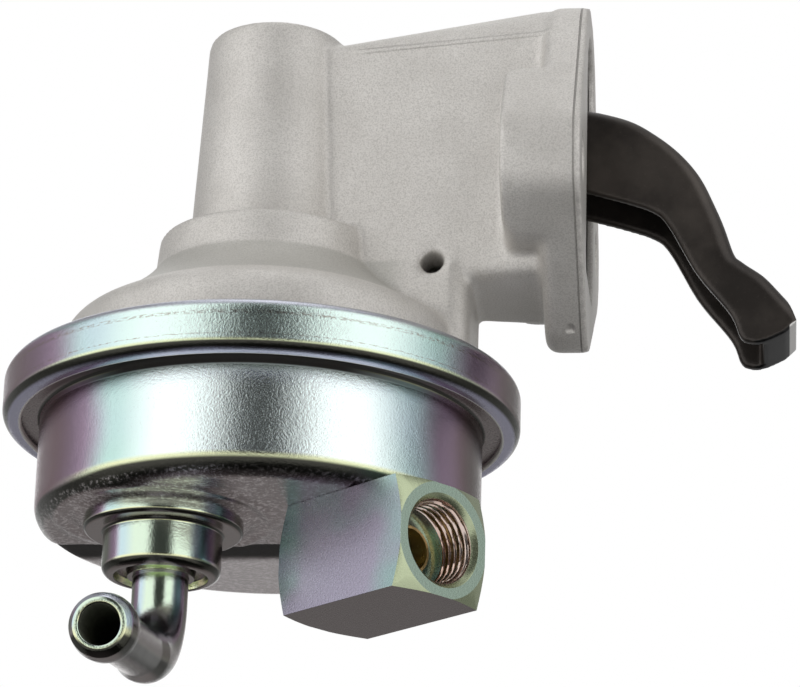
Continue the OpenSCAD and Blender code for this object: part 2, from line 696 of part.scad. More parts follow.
// Outlet block: a square bar with turned ends, drilled for the port
module outlet_frame() {
    rotate(outlet_turn) translate([outlet_r, 0, pad_z - outlet_flat / 2]) rotate([0, 90, 0]) children();
}
module outlet_block() {
    half = outlet_len / 2;
    relief_end = port_depth + relief_len;
    depth = relief_end + seat_depth;
    color([0.62, 0.68, 0.70]) in_place() difference() {
        outlet_frame() intersection() {
            translate([-outlet_flat / 2, -outlet_flat / 2, -half])
                cube([outlet_flat, outlet_flat, outlet_len]);
            rotate_extrude() polygon([[0, -half], [outlet_face_r, -half],
                [outlet_corner_d / 2, outlet_cone - half], [outlet_corner_d / 2, half - outlet_cone],
                [outlet_face_r, half], [0, half]]);
        }
        outlet_frame() rotate_extrude() polygon([[0, half + cut],
            [port_r + port_chamfer + cut, half + cut], [port_r, half - port_chamfer],
            [port_r, half - port_depth], [relief_r, half - port_depth],
            [relief_r, half - relief_end], [seat_r, half - relief_end],
            [seat_r, half - depth], [passage_r, half - depth],
            [passage_r, drilling_r - outlet_r - passage_r],
            [0, drilling_r - outlet_r - passage_r]]);
        rotate(outlet_turn) translate([drilling_r, 0, 0])
            post(fuel_way_d / 2, pad_z - outlet_flat / 2, pad_z + cut);
    }
}
module outlet_flare_seat() {
    base = outlet_len / 2 - port_depth - relief_len - seat_depth;
    tip = seat_depth + relief_len - seat_back;
    color([0.80, 0.66, 0.36]) in_place() outlet_frame() translate([0, 0, base])
        rotate_extrude() polygon([[seat_bore_r, 0], [seat_r - press_gap, 0],
            [seat_r - press_gap, seat_depth], [seat_bore_r + 0.5, tip], [seat_bore_r, tip]]);
}

// Valve body: a cup that holds both valves, with a wall between the two chambers
module valve_body() {
    reach = can_r - sheet_t - 0.5;
    foot_z = sheet_t - can_depth + 0.3;
    cup_out_r = valve_cup_r + valve_wall;
    color([0.72, 0.71, 0.66]) in_place() difference() {
        union() {
            post(rim_r, valve_rim_z, clamp_z);
            post(cup_out_r, valve_under_z, clamp_z);
            intersection() {
                translate([-divider_t / 2, -reach, foot_z])
                    cube([divider_t, 2 * reach, valve_rim_z - foot_z]);
                rotate_extrude() polygon([[0, foot_z], [reach - 1, foot_z],
                    [reach, foot_z + 1], [reach, valve_rim_z], [0, valve_rim_z]]);
            }
        }
        post(valve_cup_r, valve_floor_z, clamp_z + cut);
        for (side = [-1, 1]) translate([side * valve_x, 0, 0])
            post(cage_r, valve_under_z - cut, valve_floor_z + cut);
    }
}

// Valves, drawn pointing up with the seat at z = 0, and placed on each side
module inlet_side() { translate([-valve_x, 0, valve_floor_z]) children(); }
module outlet_side() { translate([valve_x, 0, valve_under_z]) mirror([0, 0, 1]) children(); }
module valve_cage() {
    roof_z = cage_len - cage_roof_t;
    inside_r = valve_disc_r + cage_play;
    ring(cage_r - press_gap, valve_seat_r, -valve_floor_t, 0);
    difference() {
        ring(cage_r - press_gap, inside_r, 0, roof_z);
        for (a = [0:120:240]) rotate(a) translate([inside_r / 2, -cage_window / 2, -cut])
            cube([cage_r, cage_window, roof_z + 2 * cut]);
    }
    ring(cage_r - press_gap, cage_vent_r, roof_z, cage_len);
}
module valve_disc() { post(valve_disc_r, seat_gap, seat_gap + valve_disc_t); }
module valve_spring() {
    coil(valve_spring_r, valve_wire_r, valve_turns, 2 * seat_gap + valve_disc_t,
         cage_len - cage_roof_t - seat_gap, 6);
}
module inlet_valve_cage() { color([0.55, 0.56, 0.55]) in_place() inlet_side() valve_cage(); }
module inlet_valve_disc() { color([0.15, 0.15, 0.15]) in_place() inlet_side() valve_disc(); }
module inlet_valve_spring() { color([0.72, 0.72, 0.72]) in_place() inlet_side() valve_spring(); }
module outlet_valve_cage() { color([0.55, 0.56, 0.55]) in_place() outlet_side() valve_cage(); }
module outlet_valve_disc() { color([0.15, 0.15, 0.15]) in_place() outlet_side() valve_disc(); }
module outlet_valve_spring() { color([0.72, 0.72, 0.72]) in_place() outlet_side() valve_spring(); }

// Diaphragm and what is riveted to it
function fold_z(t) = clamp_z * t * t * (3 - 2 * t) - fold_depth * pow(sin(180 * t), 2) * (1 - t);
module diaphragm() {
    fold_w = diaphragm_clamp_r - diaphragm_flat_r;
    line = concat([[rod_r + press_gap, 0]],
        [for (i = [0:12]) [diaphragm_flat_r + fold_w * i / 12, fold_z(i / 12)]], [[rim_r, clamp_z]]);
    color([0.12, 0.12, 0.11]) in_place() rotate_extrude()
        polygon(concat(line, [for (p = reverse(line)) p + [0, diaphragm_t]]));
}
module upper_diaphragm_plate() {
    color([0.60, 0.60, 0.58]) in_place()
        ring(upper_plate_r, rod_r + press_gap, diaphragm_t, diaphragm_t + plate_t);
}
module lower_diaphragm_plate() {
    color([0.60, 0.60, 0.58]) in_place() ring(lower_plate_r, rod_r + press_gap, -plate_t, 0);
}
module rivet_washer() {
    color([0.66, 0.66, 0.62]) in_place() ring(washer_r, rod_r + press_gap, washer_z, -plate_t);
}
module pull_rod() {
    color([0.62, 0.62, 0.62]) in_place() {
        post(rivet_r, washer_z - rivet_t, washer_z);
        post(rod_r, washer_z - 0.01, rod_shoulder_z);
        post(rod_neck_r, rod_shoulder_z - 0.01, head_z + 0.01);
        post(rod_head_r, head_z, head_z + rod_head_t);
    }
}
module diaphragm_spring() {
    color([0.50, 0.50, 0.50]) in_place() coil(diaphragm_spring_r, diaphragm_wire_r, diaphragm_turns,
        diaphragm_t + plate_t + seat_gap, bell_ceiling_z - seat_gap, 8);
}
module oil_seal() {
    z = bell_ceiling_z + retainer_t + 3 * seat_gap;
    color([0.10, 0.10, 0.10]) in_place() ring(seal_r - press_gap, rod_r + run_gap, z, z + seal_t);
}
module oil_seal_retainer() {
    z = bell_ceiling_z + 2 * seat_gap;
    color([0.60, 0.60, 0.60]) in_place() ring(seal_r - press_gap, rod_r + 1, z, z + retainer_t);
}

// Rocker arm: a pressed channel with its web on top, and a narrow tongue inside the housing.
// The points are (x, z) from the pump's axis, measured on an arm with the pivot at arm_pivot,
// the tip 48.7 beyond it and the back 8.3 above it.
arm_pivot = [56, 59];
arm_scale = [arm_reach / 48.7, arm_rise / 8.3];
function arm_at(p) = [pivot_x + arm_scale[0] * (p[0] - arm_pivot[0]),
                      pivot_z + arm_scale[1] * (p[1] - arm_pivot[1])];
channel_x = arm_at([31, 0])[0];
arm_top = [for (p = concat([[31, 61.5], [40, 65], [48, 67.3]],
    smooth([[56, 67.3], [63.3, 65.2], [71.2, 62.9], [76.2, 60], [81.1, 55.9], [85, 50.9],
            [88, 44.5], [91.8, 35.3], [94.1, 33], [98.6, 30], [102.6, 25.6], [104.7, 20.2]], 4)))
    arm_at(p)];
arm_under = [for (p = concat([[31, 50], [44, 49.2], [56, 48.5]],
    smooth([[63.4, 48], [71.3, 45.7], [76.2, 43.8], [79.2, 41], [85, 30.8], [91.8, 22],
            [93.7, 17.2], [95.6, 16], [98.5, 16.2], [102.4, 18]], 4))) arm_at(p)];
module arm_hollow() {
    inside = beside([for (p = arm_top) if (p[0] < arm_at([100.5, 0])[0]) p], arm_t);
    last = inside[len(inside) - 1];
    polygon(concat([[channel_x - cut, inside[0][1]]], inside,
        [[last[0] - 0.5, 0], [channel_x - cut, 0]]));
}
// The link's strap: where it meets the hub, where it turns level, and half its thickness
strap_start = [pivot_x, pivot_z];
strap_bend = [spring_seat_r + 2.2, strap_z];
strap_end = -rod_head_r - 2.5;
strap_way = unit(strap_start - strap_bend);
strap_side = strap_t / 2 * [strap_way[1], -strap_way[0]];
function strap_under(x) = strap_z - strap_t / 2 + (x - strap_bend[0]) * strap_way[1] / strap_way[0];
// The toe, a bent tab that lifts the link's strap
toe_w = 3;
toe_t = 1.8;
toe_gap = 0.3;
module rocker_arm() {
    seat_z = tongue_z - arm_t - 0.2;
    step = channel_x;
    rise_x = step - 5;
    level_x = strap_bend[0];
    color([0.10, 0.09, 0.09]) in_place() difference() {
        union() {
            difference() {
                across_y(arm_w) polygon(concat(arm_top, reverse(arm_under)));
                across_y(2 * arm_in) arm_hollow();
            }
            across_y(tongue_w) polygon([[-spring_seat_r, seat_z], [level_x, seat_z],
                [rise_x, seat_z + 1.9], [step + toe_w, arm_top[0][1] - arm_t - 0.2],
                [step + toe_w, arm_top[0][1] + 0.9], [step, arm_top[0][1]],
                [rise_x, tongue_z + 1.9], [level_x, tongue_z], [-spring_seat_r, tongue_z]]);
            post(spring_seat_r, seat_z, tongue_z);
            post(return_spring_r - return_wire_r - 0.8, tongue_z - 0.01, tongue_z + 1.4);
            translate([step, -arm_in - 0.01, strap_under(step) - toe_gap - toe_t])
                cube([toe_w, 2 * arm_in + 0.02, toe_t]);
        }
        rod_y(pivot_x, pivot_z, pin_r + run_gap, -arm_w, arm_w);
    }
}
// Diaphragm link: a strap that turns on the pin and lifts the rod's head
module diaphragm_link() {
    top = strap_t / 2;
    slot_x = 1.2;
    color([0.24, 0.23, 0.22]) in_place() difference() {
        union() {
            rod_y(pivot_x, pivot_z, hub_r, -hub_w / 2, hub_w / 2);
            across_y(strap_w) polygon([strap_start - strap_side, strap_bend + [0, top],
                [strap_end, strap_z + top], [strap_end, strap_z - top], strap_bend - [0, top],
                strap_start + strap_side]);
        }
        rod_y(pivot_x, pivot_z, pin_r + run_gap, -hub_w, hub_w);
        translate([slot_x, 0, 0]) post(slot_w / 2, strap_z - strap_t, strap_z + strap_t);
        translate([2 * strap_end, -slot_w / 2, strap_z - strap_t])
            cube([slot_x - 2 * strap_end, slot_w, 2 * strap_t]);
    }
}
module pivot_pin() {
    color([0.70, 0.70, 0.70]) in_place() rod_y(pivot_x, pivot_z, pin_r, -pin_len / 2, pin_len / 2);
}
module pin_plug() {
    start = pin_len / 2 + 0.3;
    color([0.66, 0.66, 0.62]) in_place() rod_y(pivot_x, pivot_z, pin_r, start, start + plug_t);
}
module rocker_return_spring() {
    color([0.50, 0.50, 0.50]) in_place() coil(return_spring_r, return_wire_r, return_turns,
        tongue_z + seat_gap, bore_top_z - seat_gap, 8);
}

upper_casting();
crimp_ring();
lower_shell();
inlet_boss();
inlet_elbow();
outlet_block();
outlet_flare_seat();
valve_body();
inlet_valve_cage();
inlet_valve_disc();
inlet_valve_spring();
outlet_valve_cage();
outlet_valve_disc();
outlet_valve_spring();
diaphragm();
upper_diaphragm_plate();
lower_diaphragm_plate();
pull_rod();
rivet_washer();
diaphragm_spring();
oil_seal();
oil_seal_retainer();
rocker_arm();
diaphragm_link();
pivot_pin();
pin_plug();
rocker_return_spring();
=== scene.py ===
# %% [markdown]
# # A fuel pump in a studio
# A mechanical fuel pump is a cast housing crimped to a plated steel can, with a black rocker arm that
# a cam pushes. This lesson dresses its measured solids: it places the camera, lights the metal, writes
# one procedural finish for each kind of surface, and models the forms that the plain solids leave out.
# A pump could be modelled by eye instead, but each size here starts from a measured one, so that the
# dressed pump fits wherever the solids fit.

# %% Load the measured solids
import math

import bmesh
import bpy
import numpy as np
from mathutils import Matrix, Vector


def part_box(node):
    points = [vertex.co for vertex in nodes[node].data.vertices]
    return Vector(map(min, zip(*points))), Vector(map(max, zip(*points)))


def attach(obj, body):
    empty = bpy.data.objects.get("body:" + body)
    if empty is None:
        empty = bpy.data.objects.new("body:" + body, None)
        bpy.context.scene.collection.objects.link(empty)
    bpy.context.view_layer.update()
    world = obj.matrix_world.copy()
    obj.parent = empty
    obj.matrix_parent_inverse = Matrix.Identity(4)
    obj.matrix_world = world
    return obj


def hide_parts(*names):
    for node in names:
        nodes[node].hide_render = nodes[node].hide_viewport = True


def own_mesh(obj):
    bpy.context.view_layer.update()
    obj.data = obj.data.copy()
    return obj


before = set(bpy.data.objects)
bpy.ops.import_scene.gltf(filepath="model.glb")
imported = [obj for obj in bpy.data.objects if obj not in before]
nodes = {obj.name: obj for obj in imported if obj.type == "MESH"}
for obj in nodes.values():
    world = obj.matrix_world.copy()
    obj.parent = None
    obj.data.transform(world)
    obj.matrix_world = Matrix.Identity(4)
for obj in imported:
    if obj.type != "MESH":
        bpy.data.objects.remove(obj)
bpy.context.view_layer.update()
MM = 0.001
scene = bpy.context.scene
scene.view_settings.view_transform = "Standard"
print("pieces loaded:", len(nodes))

# %% [markdown]
# ## Where the pump's axis runs
# The solids are measured from the mounting face. Most of the pump is round about its own upright
# axis, so it helps to know where that axis is. The crimp ring gives it: its middle is on the axis, and
# its lowest point is the level from which the round parts are easiest to describe.

# %% Find the pump's axis
ring_low, ring_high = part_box("crimp_ring")
axis = Vector(((ring_low.x + ring_high.x) / 2, (ring_low.y + ring_high.y) / 2, ring_low.z))
print("axis at", [round(v / MM, 2) for v in axis],
      "ring radius", round((ring_high.x - ring_low.x) / 2 / MM, 2))

# %% [markdown]
# ## The camera
# The photograph looks up at the pump from below, from about 0.7 m with a long lens. The camera could
# be turned by hand until the picture fits. It is set in two steps instead, as a photographer does:
# first the place, by distance, height angle and turn about the pump's axis, then the small turns that
# put the pump where it stands in the picture.

# %% Place the camera
CAMERA_DISTANCE = 700 * MM
CAMERA_HEIGHT_DEG = -18.74
CAMERA_TURN_DEG = 8.7
AIM_RIGHT_DEG = 2.16
AIM_UP_DEG = 1.59
ROLL_DEG = 2.50
FOCAL_PX = 3562.8
PHOTO_WIDTH_PX = 800
SENSOR_MM = 36


def camera_axes():
    """The camera's place, and its right, up and forward directions, in the part's frame."""
    height, turn = math.radians(CAMERA_HEIGHT_DEG), math.radians(CAMERA_TURN_DEG)
    aside, lift, roll = (math.radians(a) for a in (AIM_RIGHT_DEG, AIM_UP_DEG, ROLL_DEG))
    place = Vector((0, -math.cos(height), math.sin(height))) * CAMERA_DISTANCE
    look = -place.normalized()
    right = Vector((1, 0, 0))
    up = right.cross(look)
    level_aim = look * math.cos(aside) + right * math.sin(aside)
    aim = (level_aim * math.cos(lift) + up * math.sin(lift)).normalized()
    side = aim.cross(up).normalized()
    top = side.cross(aim)
    turn_z = Matrix.Rotation(turn, 3, "Z")
    rolled_side = side * math.cos(roll) + top * math.sin(roll)
    rolled_top = top * math.cos(roll) - side * math.sin(roll)
    return turn_z @ place + axis, turn_z @ rolled_side, turn_z @ rolled_top, turn_z @ aim


place, side, top, aim = camera_axes()
camera = bpy.data.objects.new("camera", bpy.data.cameras.new("camera"))
scene.collection.objects.link(camera)
camera.matrix_world = Matrix((side, top, -aim)).transposed().to_4x4()
camera.location = place
camera.data.sensor_width = SENSOR_MM
camera.data.lens = FOCAL_PX * SENSOR_MM / PHOTO_WIDTH_PX
scene.camera = camera
print("camera at", [round(v, 3) for v in place], "lens", round(camera.data.lens, 1), "mm")

# %% [markdown]
# ## Shader maths as plain Python
# A procedural finish is arithmetic on values that vary over the surface. Written node by node it is
# hard to read, so a small class wraps a socket: adding or multiplying two wrapped values adds the Math
# node that does it, and its method `node` makes any other node in one line.

# %% The socket class
class Value:
    """One output of a node, with Python's arithmetic. Each operation adds its Math node."""

    def __init__(self, tree, socket=None):
        self.tree = tree
        self.socket = socket

    def node(self, kind, settings=None, inputs=(), output=0):
        """Adds a node: its settings first, then its sockets' values or links. Gives one output."""
        made = self.tree.nodes.new(kind)
        for name, setting in (settings or {}).items():
            setattr(made, name, setting)
        pairs = inputs.items() if isinstance(inputs, dict) else enumerate(inputs)
        for key, value in pairs:
            if isinstance(value, Value):
                self.tree.links.new(value.socket, made.inputs[key])
            else:
                made.inputs[key].default_value = value
        return Value(self.tree, made.outputs[output])

    def math(self, operation, *values):
        return self.node("ShaderNodeMath", {"operation": operation}, values)

    def __add__(self, other): return self.math("ADD", self, other)
    def __radd__(self, other): return self.math("ADD", other, self)
    def __sub__(self, other): return self.math("SUBTRACT", self, other)
    def __rsub__(self, other): return self.math("SUBTRACT", other, self)
    def __mul__(self, other): return self.math("MULTIPLY", self, other)
    def __rmul__(self, other): return self.math("MULTIPLY", other, self)
    def __truediv__(self, other): return self.math("DIVIDE", self, other)
    def __rtruediv__(self, other): return self.math("DIVIDE", other, self)
    def __pow__(self, other): return self.math("POWER", self, other)
    def __rpow__(self, other): return self.math("POWER", other, self)
    def __neg__(self): return self.math("MULTIPLY", self, -1)
    def __abs__(self): return self.math("ABSOLUTE", self)

    def step(self, low, high):
        """0 below low, 1 above high, and smooth between them."""
        return self.node("ShaderNodeMapRange", {"interpolation_type": "SMOOTHSTEP"},
                         {"Value": self, "From Min": low, "From Max": high})

    def band(self, low, high, soft):
        """1 between low and high, and 0 outside."""
        return self.step(low - soft, low + soft) * (1 - self.step(high - soft, high + soft))


print("a value can be added, multiplied, stepped and banded")

# %% [markdown]
# ## Colours, noise and one shader
# Colours can't go through Math nodes, which would turn them grey, so they are blended by Mix nodes. A
# noise is the start of almost every natural surface. One class holds what each finish needs: the
# shader, the surface's place and direction to paint by, and relief that can be added in layers.

# %% Helpers for finishes
COLOUR_A, COLOUR_B, COLOUR_OUT = 6, 7, 2


def mix(factor, first, second):
    """Blends two colours by a factor from 0 to 1."""
    first, second = (c if isinstance(c, Value) else (*c, 1) for c in (first, second))
    return factor.node("ShaderNodeMix", {"data_type": "RGBA"},
                       {0: factor, COLOUR_A: first, COLOUR_B: second}, COLOUR_OUT)


def noise(where, scale, detail=2, rough=0.5):
    """Soft noise from 0 to 1, with its scale in cells a metre."""
    return where.node("ShaderNodeTexNoise", {}, {"Vector": where, "Scale": scale, "Detail": detail,
                                                 "Roughness": rough})


def split(vector):
    """The x, y and z of a vector."""
    return [vector.node("ShaderNodeSeparateXYZ", {}, [vector], letter) for letter in "XYZ"]


class Finish:
    """A material with one Principled shader, and the surface's place and direction."""

    def __init__(self, name, roughness=0.5, metallic=0.0):
        self.material = bpy.data.materials.new(name)
        self.material.use_nodes = True
        self.tree = self.material.node_tree
        self.shader = self.tree.nodes["Principled BSDF"]
        self.start = Value(self.tree)
        self.place = self.start.node("ShaderNodeTexCoord", output="Object")
        self.facing = self.start.node("ShaderNodeTexCoord", output="Normal")
        self.set("Roughness", roughness)
        self.set("Metallic", metallic)

    def set(self, socket, value):
        if isinstance(value, Value):
            self.tree.links.new(value.socket, self.shader.inputs[socket])
        else:
            self.shader.inputs[socket].default_value = value

    def linked(self, socket):
        """What already feeds a socket, to build on."""
        return Value(self.tree, self.shader.inputs[socket].links[0].from_socket)

    def from_axis(self):
        """The place from the pump's axis and from the ring's foot, in mm."""
        return [(v - middle) / MM for v, middle in zip(split(self.place), axis)]

    def bump(self, height, strength, depth_mm):
        """Adds relief. Each call stacks on the one before it."""
        inputs = {"Height": height, "Strength": strength, "Distance": depth_mm * MM}
        if self.shader.inputs["Normal"].is_linked:
            inputs["Normal"] = self.linked("Normal")
        self.set("Normal", self.start.node("ShaderNodeBump", {}, inputs))


print("helpers for finishes ready")

# %% [markdown]
# ## Light for plated metal
# Plated steel shows hardly any colour of its own: it shows the room. A product photographer puts a
# large white softbox on each side of the lens. The strip between them stays dark, and so does the
# table behind and below, while the backdrop is white. Lamps could stand for all that, but a world
# shader can hold the whole room, painted by direction, with every border where it is wanted. What the
# camera itself sees is plain white, like the photograph's background.

# %% The studio, as a world
DARK_GAP_DEG = (-23.0, 20.0)
SOFTBOX_END_DEG = (-98.0, 98.0)
RIGHT_BOX_FADE_DEG = (58, 104)
BACKDROP_FROM_DEG = 163.0
STRAY_LIGHT = 0.05
LIGHT = {"boxes": 1.15, "backdrop": 1.0, "sides": 0.34, "table": 0.85, "behind_table": 0.3,
         "ceiling": 0.8}


def room(angle, height):
    """How far each thing in the room fills a direction, given by its two angles in degrees."""
    aside = abs(angle)
    left_box = angle.band(SOFTBOX_END_DEG[0], DARK_GAP_DEG[0], 2)
    right_box = (angle.step(DARK_GAP_DEG[1] - 3, DARK_GAP_DEG[1] + 3)
                 * (1 - angle.step(*RIGHT_BOX_FADE_DEG)))
    return {
        "boxes": (left_box + right_box) * height.band(-14, 64, 4),
        "backdrop": aside.step(BACKDROP_FROM_DEG - 5, BACKDROP_FROM_DEG + 5) * height.step(-4, 3),
        "sides": aside.band(SOFTBOX_END_DEG[1], BACKDROP_FROM_DEG, 4) * height.step(-12, 0),
        "table": (1 - aside.step(75, 110)) * height.band(-46, -13, 3),
        "behind_table": aside.step(95, 125) * height.band(-40, -8, 4),
        "ceiling": height.step(62, 80),
    }


def studio_world():
    world = bpy.data.worlds.new("studio")
    world.use_nodes = True
    scene.world = world
    background = world.node_tree.nodes["Background"]
    start = Value(world.node_tree)
    x, y, z = split(start.node("ShaderNodeTexCoord", output="Generated"))
    turn = math.radians(CAMERA_TURN_DEG)
    right = x * math.cos(turn) + y * math.sin(turn)
    front = x * math.sin(turn) - y * math.cos(turn)
    angle = right.math("ARCTAN2", right, front) * math.degrees(1)
    height = z.math("ARCSINE", z) * math.degrees(1)
    level = sum((part * LIGHT[name] for name, part in room(angle, height).items()), STRAY_LIGHT)
    seen = start.node("ShaderNodeLightPath", output="Is Camera Ray")
    strength = level * (1 - seen) + seen
    world.node_tree.links.new(strength.socket, background.inputs["Strength"])
    background.inputs["Color"].default_value = (1, 1, 1, 1)


studio_world()
print("softboxes from", DARK_GAP_DEG, "to", SOFTBOX_END_DEG, "degrees")

# %% [markdown]
# ## The floor
# The pump hangs in front of the lens, well above a pale table. The table is for views from above. It
# could be lit and reflected like the pump, but the world already holds the room that the metal shows,
# so the table takes no part in that light, and from below it isn't seen.

# %% A pale table under the pump
FLOOR_Z = -320 * MM
FLOOR_REACH = 3.0


def pale_floor():
    plane = bpy.data.meshes.new("floor")
    corners = [(x * FLOOR_REACH, y * FLOOR_REACH, FLOOR_Z)
               for x, y in ((-1, -1), (1, -1), (1, 1), (-1, 1))]
    plane.from_pydata(corners, [], [(0, 1, 2, 3)])
    floor = bpy.data.objects.new("floor", plane)
    scene.collection.objects.link(floor)
    paint = Finish("pale_table", roughness=0.8)
    speckle = noise(paint.place, 40, 3)
    paint.set("Base Color", mix(speckle.step(0.35, 0.7), (0.80, 0.80, 0.79), (0.84, 0.84, 0.83)))
    from_below = paint.start.node("ShaderNodeNewGeometry", output="Backfacing")
    paint.set("Alpha", 1 - from_below)
    plane.materials.append(paint.material)
    floor.visible_glossy = floor.visible_diffuse = floor.visible_shadow = False


pale_floor()
print("floor at", FLOOR_Z / MM, "mm")

# %% [markdown]
# ## Zinc plate
# The crimp ring, the can and the fittings are steel with a thin bright plating. Its passivated skin is
# a film that turns slightly blue, lilac or straw-yellow with its thickness. Here the tint is painted by
# the surface's direction across the camera's line, and painted light with it: the far sides and the
# undersides take painted shade, the slopes that turn down a dark painted reflection, and the lower
# bends a yellow-green painted highlight. A slow noise lets it drift. A picture of such a surface would
# show seams where it wraps, and a formula has none.

# %% The film's colours and painted light
# The camera's turn: the tint, and the painted light in it, go by the direction across the camera's
# line.
FILM_TURN_DEG = 8.7
TEAL_TONES = ((0.52, 0.64, 0.70), (0.46, 0.70, 0.60))
LILAC = (0.46, 0.34, 0.46)
# Painted shade for the faces turned furthest to the right.
FAR_SIDE_PAINTED_SHADE = (0.13, 0.095, 0.085)
RISING_BLUE = (0.56, 0.58, 0.66)
# A dark painted reflection on the slopes that turn down.
SLOPE_PAINTED_DARK_REFLECTION = (0.06, 0.06, 0.05)


def film_and_painted_reflection(zinc, wall, turned, edge_painted_highlight, under_painted_shade):
    """The plating's tint and painted light by the way a face looks: wall, far sides in painted shade,
    bends with a painted highlight and a dark painted reflection, and undersides in painted shade.
    """
    x, y, rise = split(zinc.facing)
    turn = math.radians(FILM_TURN_DEG)
    across = x * math.cos(turn) + y * math.sin(turn)
    drift = (noise(zinc.place, 28, 3) - 0.5) * 0.16
    side = abs(across) + drift
    teal = mix(noise(zinc.place, 16).step(0.42, 0.62), *TEAL_TONES)
    tint = mix(side.step(0.42, 0.66), wall, teal)
    # Lilac towards the sides is partly the film's tint and partly a painted fall-off of the softboxes'
    # reflection.
    tint = mix(side.step(0.66, 0.80), tint, LILAC)
    # Painted shade on the far sides, beyond the softboxes, and darker still furthest right.
    tint = mix(side.step(0.80, 0.93), tint, turned)
    tint = mix((across + drift).step(0.84, 0.98), tint, FAR_SIDE_PAINTED_SHADE)
    tint = mix(rise.step(0.22, 0.60), tint, RISING_BLUE)
    # A yellow-green painted highlight on bends that turn slightly down, then a dark painted reflection.
    tint = mix((drift - rise).step(0.06, 0.26) * (1 - side.step(0.6, 0.95)), tint, edge_painted_highlight)
    tint = mix((drift * 0.4 - rise).step(0.26, 0.42), tint, SLOPE_PAINTED_DARK_REFLECTION)
    # Painted shade under the faces that look down.
    return mix((-rise).step(0.76, 0.94), tint, under_painted_shade)


print("the film turns from", TEAL_TONES[0], "to", LILAC)

# %% [markdown]
# ## The plate's grain
# Up close the plate has a fine grain that breaks up each reflection. One noise gives specks of colour,
# uneven gloss and fine relief together, because on the real plate the three come from the same grains.
# A second, softer noise makes the sheet slightly uneven.

# %% Three zinc finishes
def zinc_plate(name, wall, turned, edge_painted_highlight, under_painted_shade, roughness=0.17, grain_mm=0.07):
    """Plated steel. The first colour tints the faces that look at the camera; the other three are
    painted light: painted shade on the far sides and the undersides, and a painted highlight on the
    lower bends.
    """
    zinc = Finish(name, metallic=1.0)
    colour = film_and_painted_reflection(zinc, wall, turned, edge_painted_highlight, under_painted_shade)
    grit = noise(zinc.place, 2400, 3, 0.7)
    soft = noise(zinc.place, 420)
    zinc.set("Base Color", mix(grit.step(0.58, 0.80) * 0.30, colour, (0.30, 0.28, 0.27)))
    zinc.set("Roughness", roughness + (grit - 0.5) * 0.14)
    zinc.bump(grit, 1.0, grain_mm)
    zinc.bump(soft, 0.5, grain_mm)
    return zinc


# Of each plate's four colours, the last three are painted light: painted shade and a painted highlight.
zinc_ring = zinc_plate("plated_ring", wall=(0.74, 0.89, 0.84), turned=(0.29, 0.20, 0.23),
                       edge_painted_highlight=(0.70, 0.76, 0.50), under_painted_shade=(0.46, 0.45, 0.58))
zinc_can = zinc_plate("plated_can", wall=(0.88, 0.98, 0.97), turned=(0.32, 0.21, 0.24),
                      edge_painted_highlight=(0.74, 0.78, 0.50), under_painted_shade=(0.34, 0.285, 0.28), roughness=0.15)
zinc_fitting = zinc_plate("plated_fitting", wall=(0.64, 0.77, 0.62), turned=(0.20, 0.22, 0.17),
                          edge_painted_highlight=(0.74, 0.76, 0.48), under_painted_shade=(0.24, 0.20, 0.19), roughness=0.12,
                          grain_mm=0.035)
print("finishes:", [zinc.material.name for zinc in (zinc_ring, zinc_can, zinc_fitting)])

# %% [markdown]
# ## Wear and a painted highlight on the ring
# Handling rubs thin lines round the ring, and the cut edge of its lower lip takes a white painted
# highlight, not metallic. Both could be painted by hand, but they follow the ring's own height and
# radius, so two bands of those place them, and a noise breaks up the lines.

# %% Rub the ring and paint the lip's highlight
RUB_LINES = [(7.0, 0.30), (2.8, 0.12)]
RUB_STRENGTH = 0.7
LIP_RADIUS, LIP_TOP = (47.4, 47.7), (0.6, 1.0)


def wear_lines(zinc, colour):
    """Rubbed lines round the ring, a height and a half width each, broken up by noise."""
    x, y, height = zinc.from_axis()
    angle = x.math("ARCTAN2", y, x)
    for k, (level, half) in enumerate(RUB_LINES):
        where = angle.node("ShaderNodeCombineXYZ", {}, [angle * 40, height * 2.5, k])
        gaps = noise(where, 1.0, 4, 0.7).step(0.44, 0.60)
        line = height.band(level - half, level + half, half * 0.6)
        colour = mix(line * gaps * RUB_STRENGTH, colour, (0.30, 0.24, 0.20))
    return colour


def lip_painted_highlight(zinc, colour):
    """A painted highlight, white and not metallic, on the cut edge of the lower lip."""
    x, y, height = zinc.from_axis()
    distance = (x * x + y * y) ** 0.5
    lip = (1 - distance.step(*LIP_RADIUS)) * (1 - height.step(*LIP_TOP))
    zinc.set("Metallic", 1 - lip)
    return mix(lip, colour, (0.90, 0.90, 0.84))


marked = wear_lines(zinc_ring, zinc_ring.linked("Base Color"))
zinc_ring.set("Base Color", lip_painted_highlight(zinc_ring, marked))
print("rubbed lines at", [level for level, _ in RUB_LINES], "mm above the ring's foot")

# %% [markdown]
# ## Painted shade on the can
# The can's floor is made paler in fine sparkling grains and further back. Behind the pad's straight
# edge, and up inside the crimp, a near-black painted shade stands for the shadow and the dark
# reflection there. The mask that paints it also takes the metallic shine and the gloss away.

# %% Paint the shade
# Near black for the painted shade, and pale for the floor.
PAINTED_SHADE_BLACK, FLOOR_PALE = (0.012, 0.010, 0.008), (1.0, 0.93, 0.93)
PAD_EDGE_Y, PAINTED_SHADE_END_Y = (2.6, 3.4), (12, 16)
FLOOR_TOP_Z, CRIMP_Z = (-20, -19), (-0.8, -0.2)


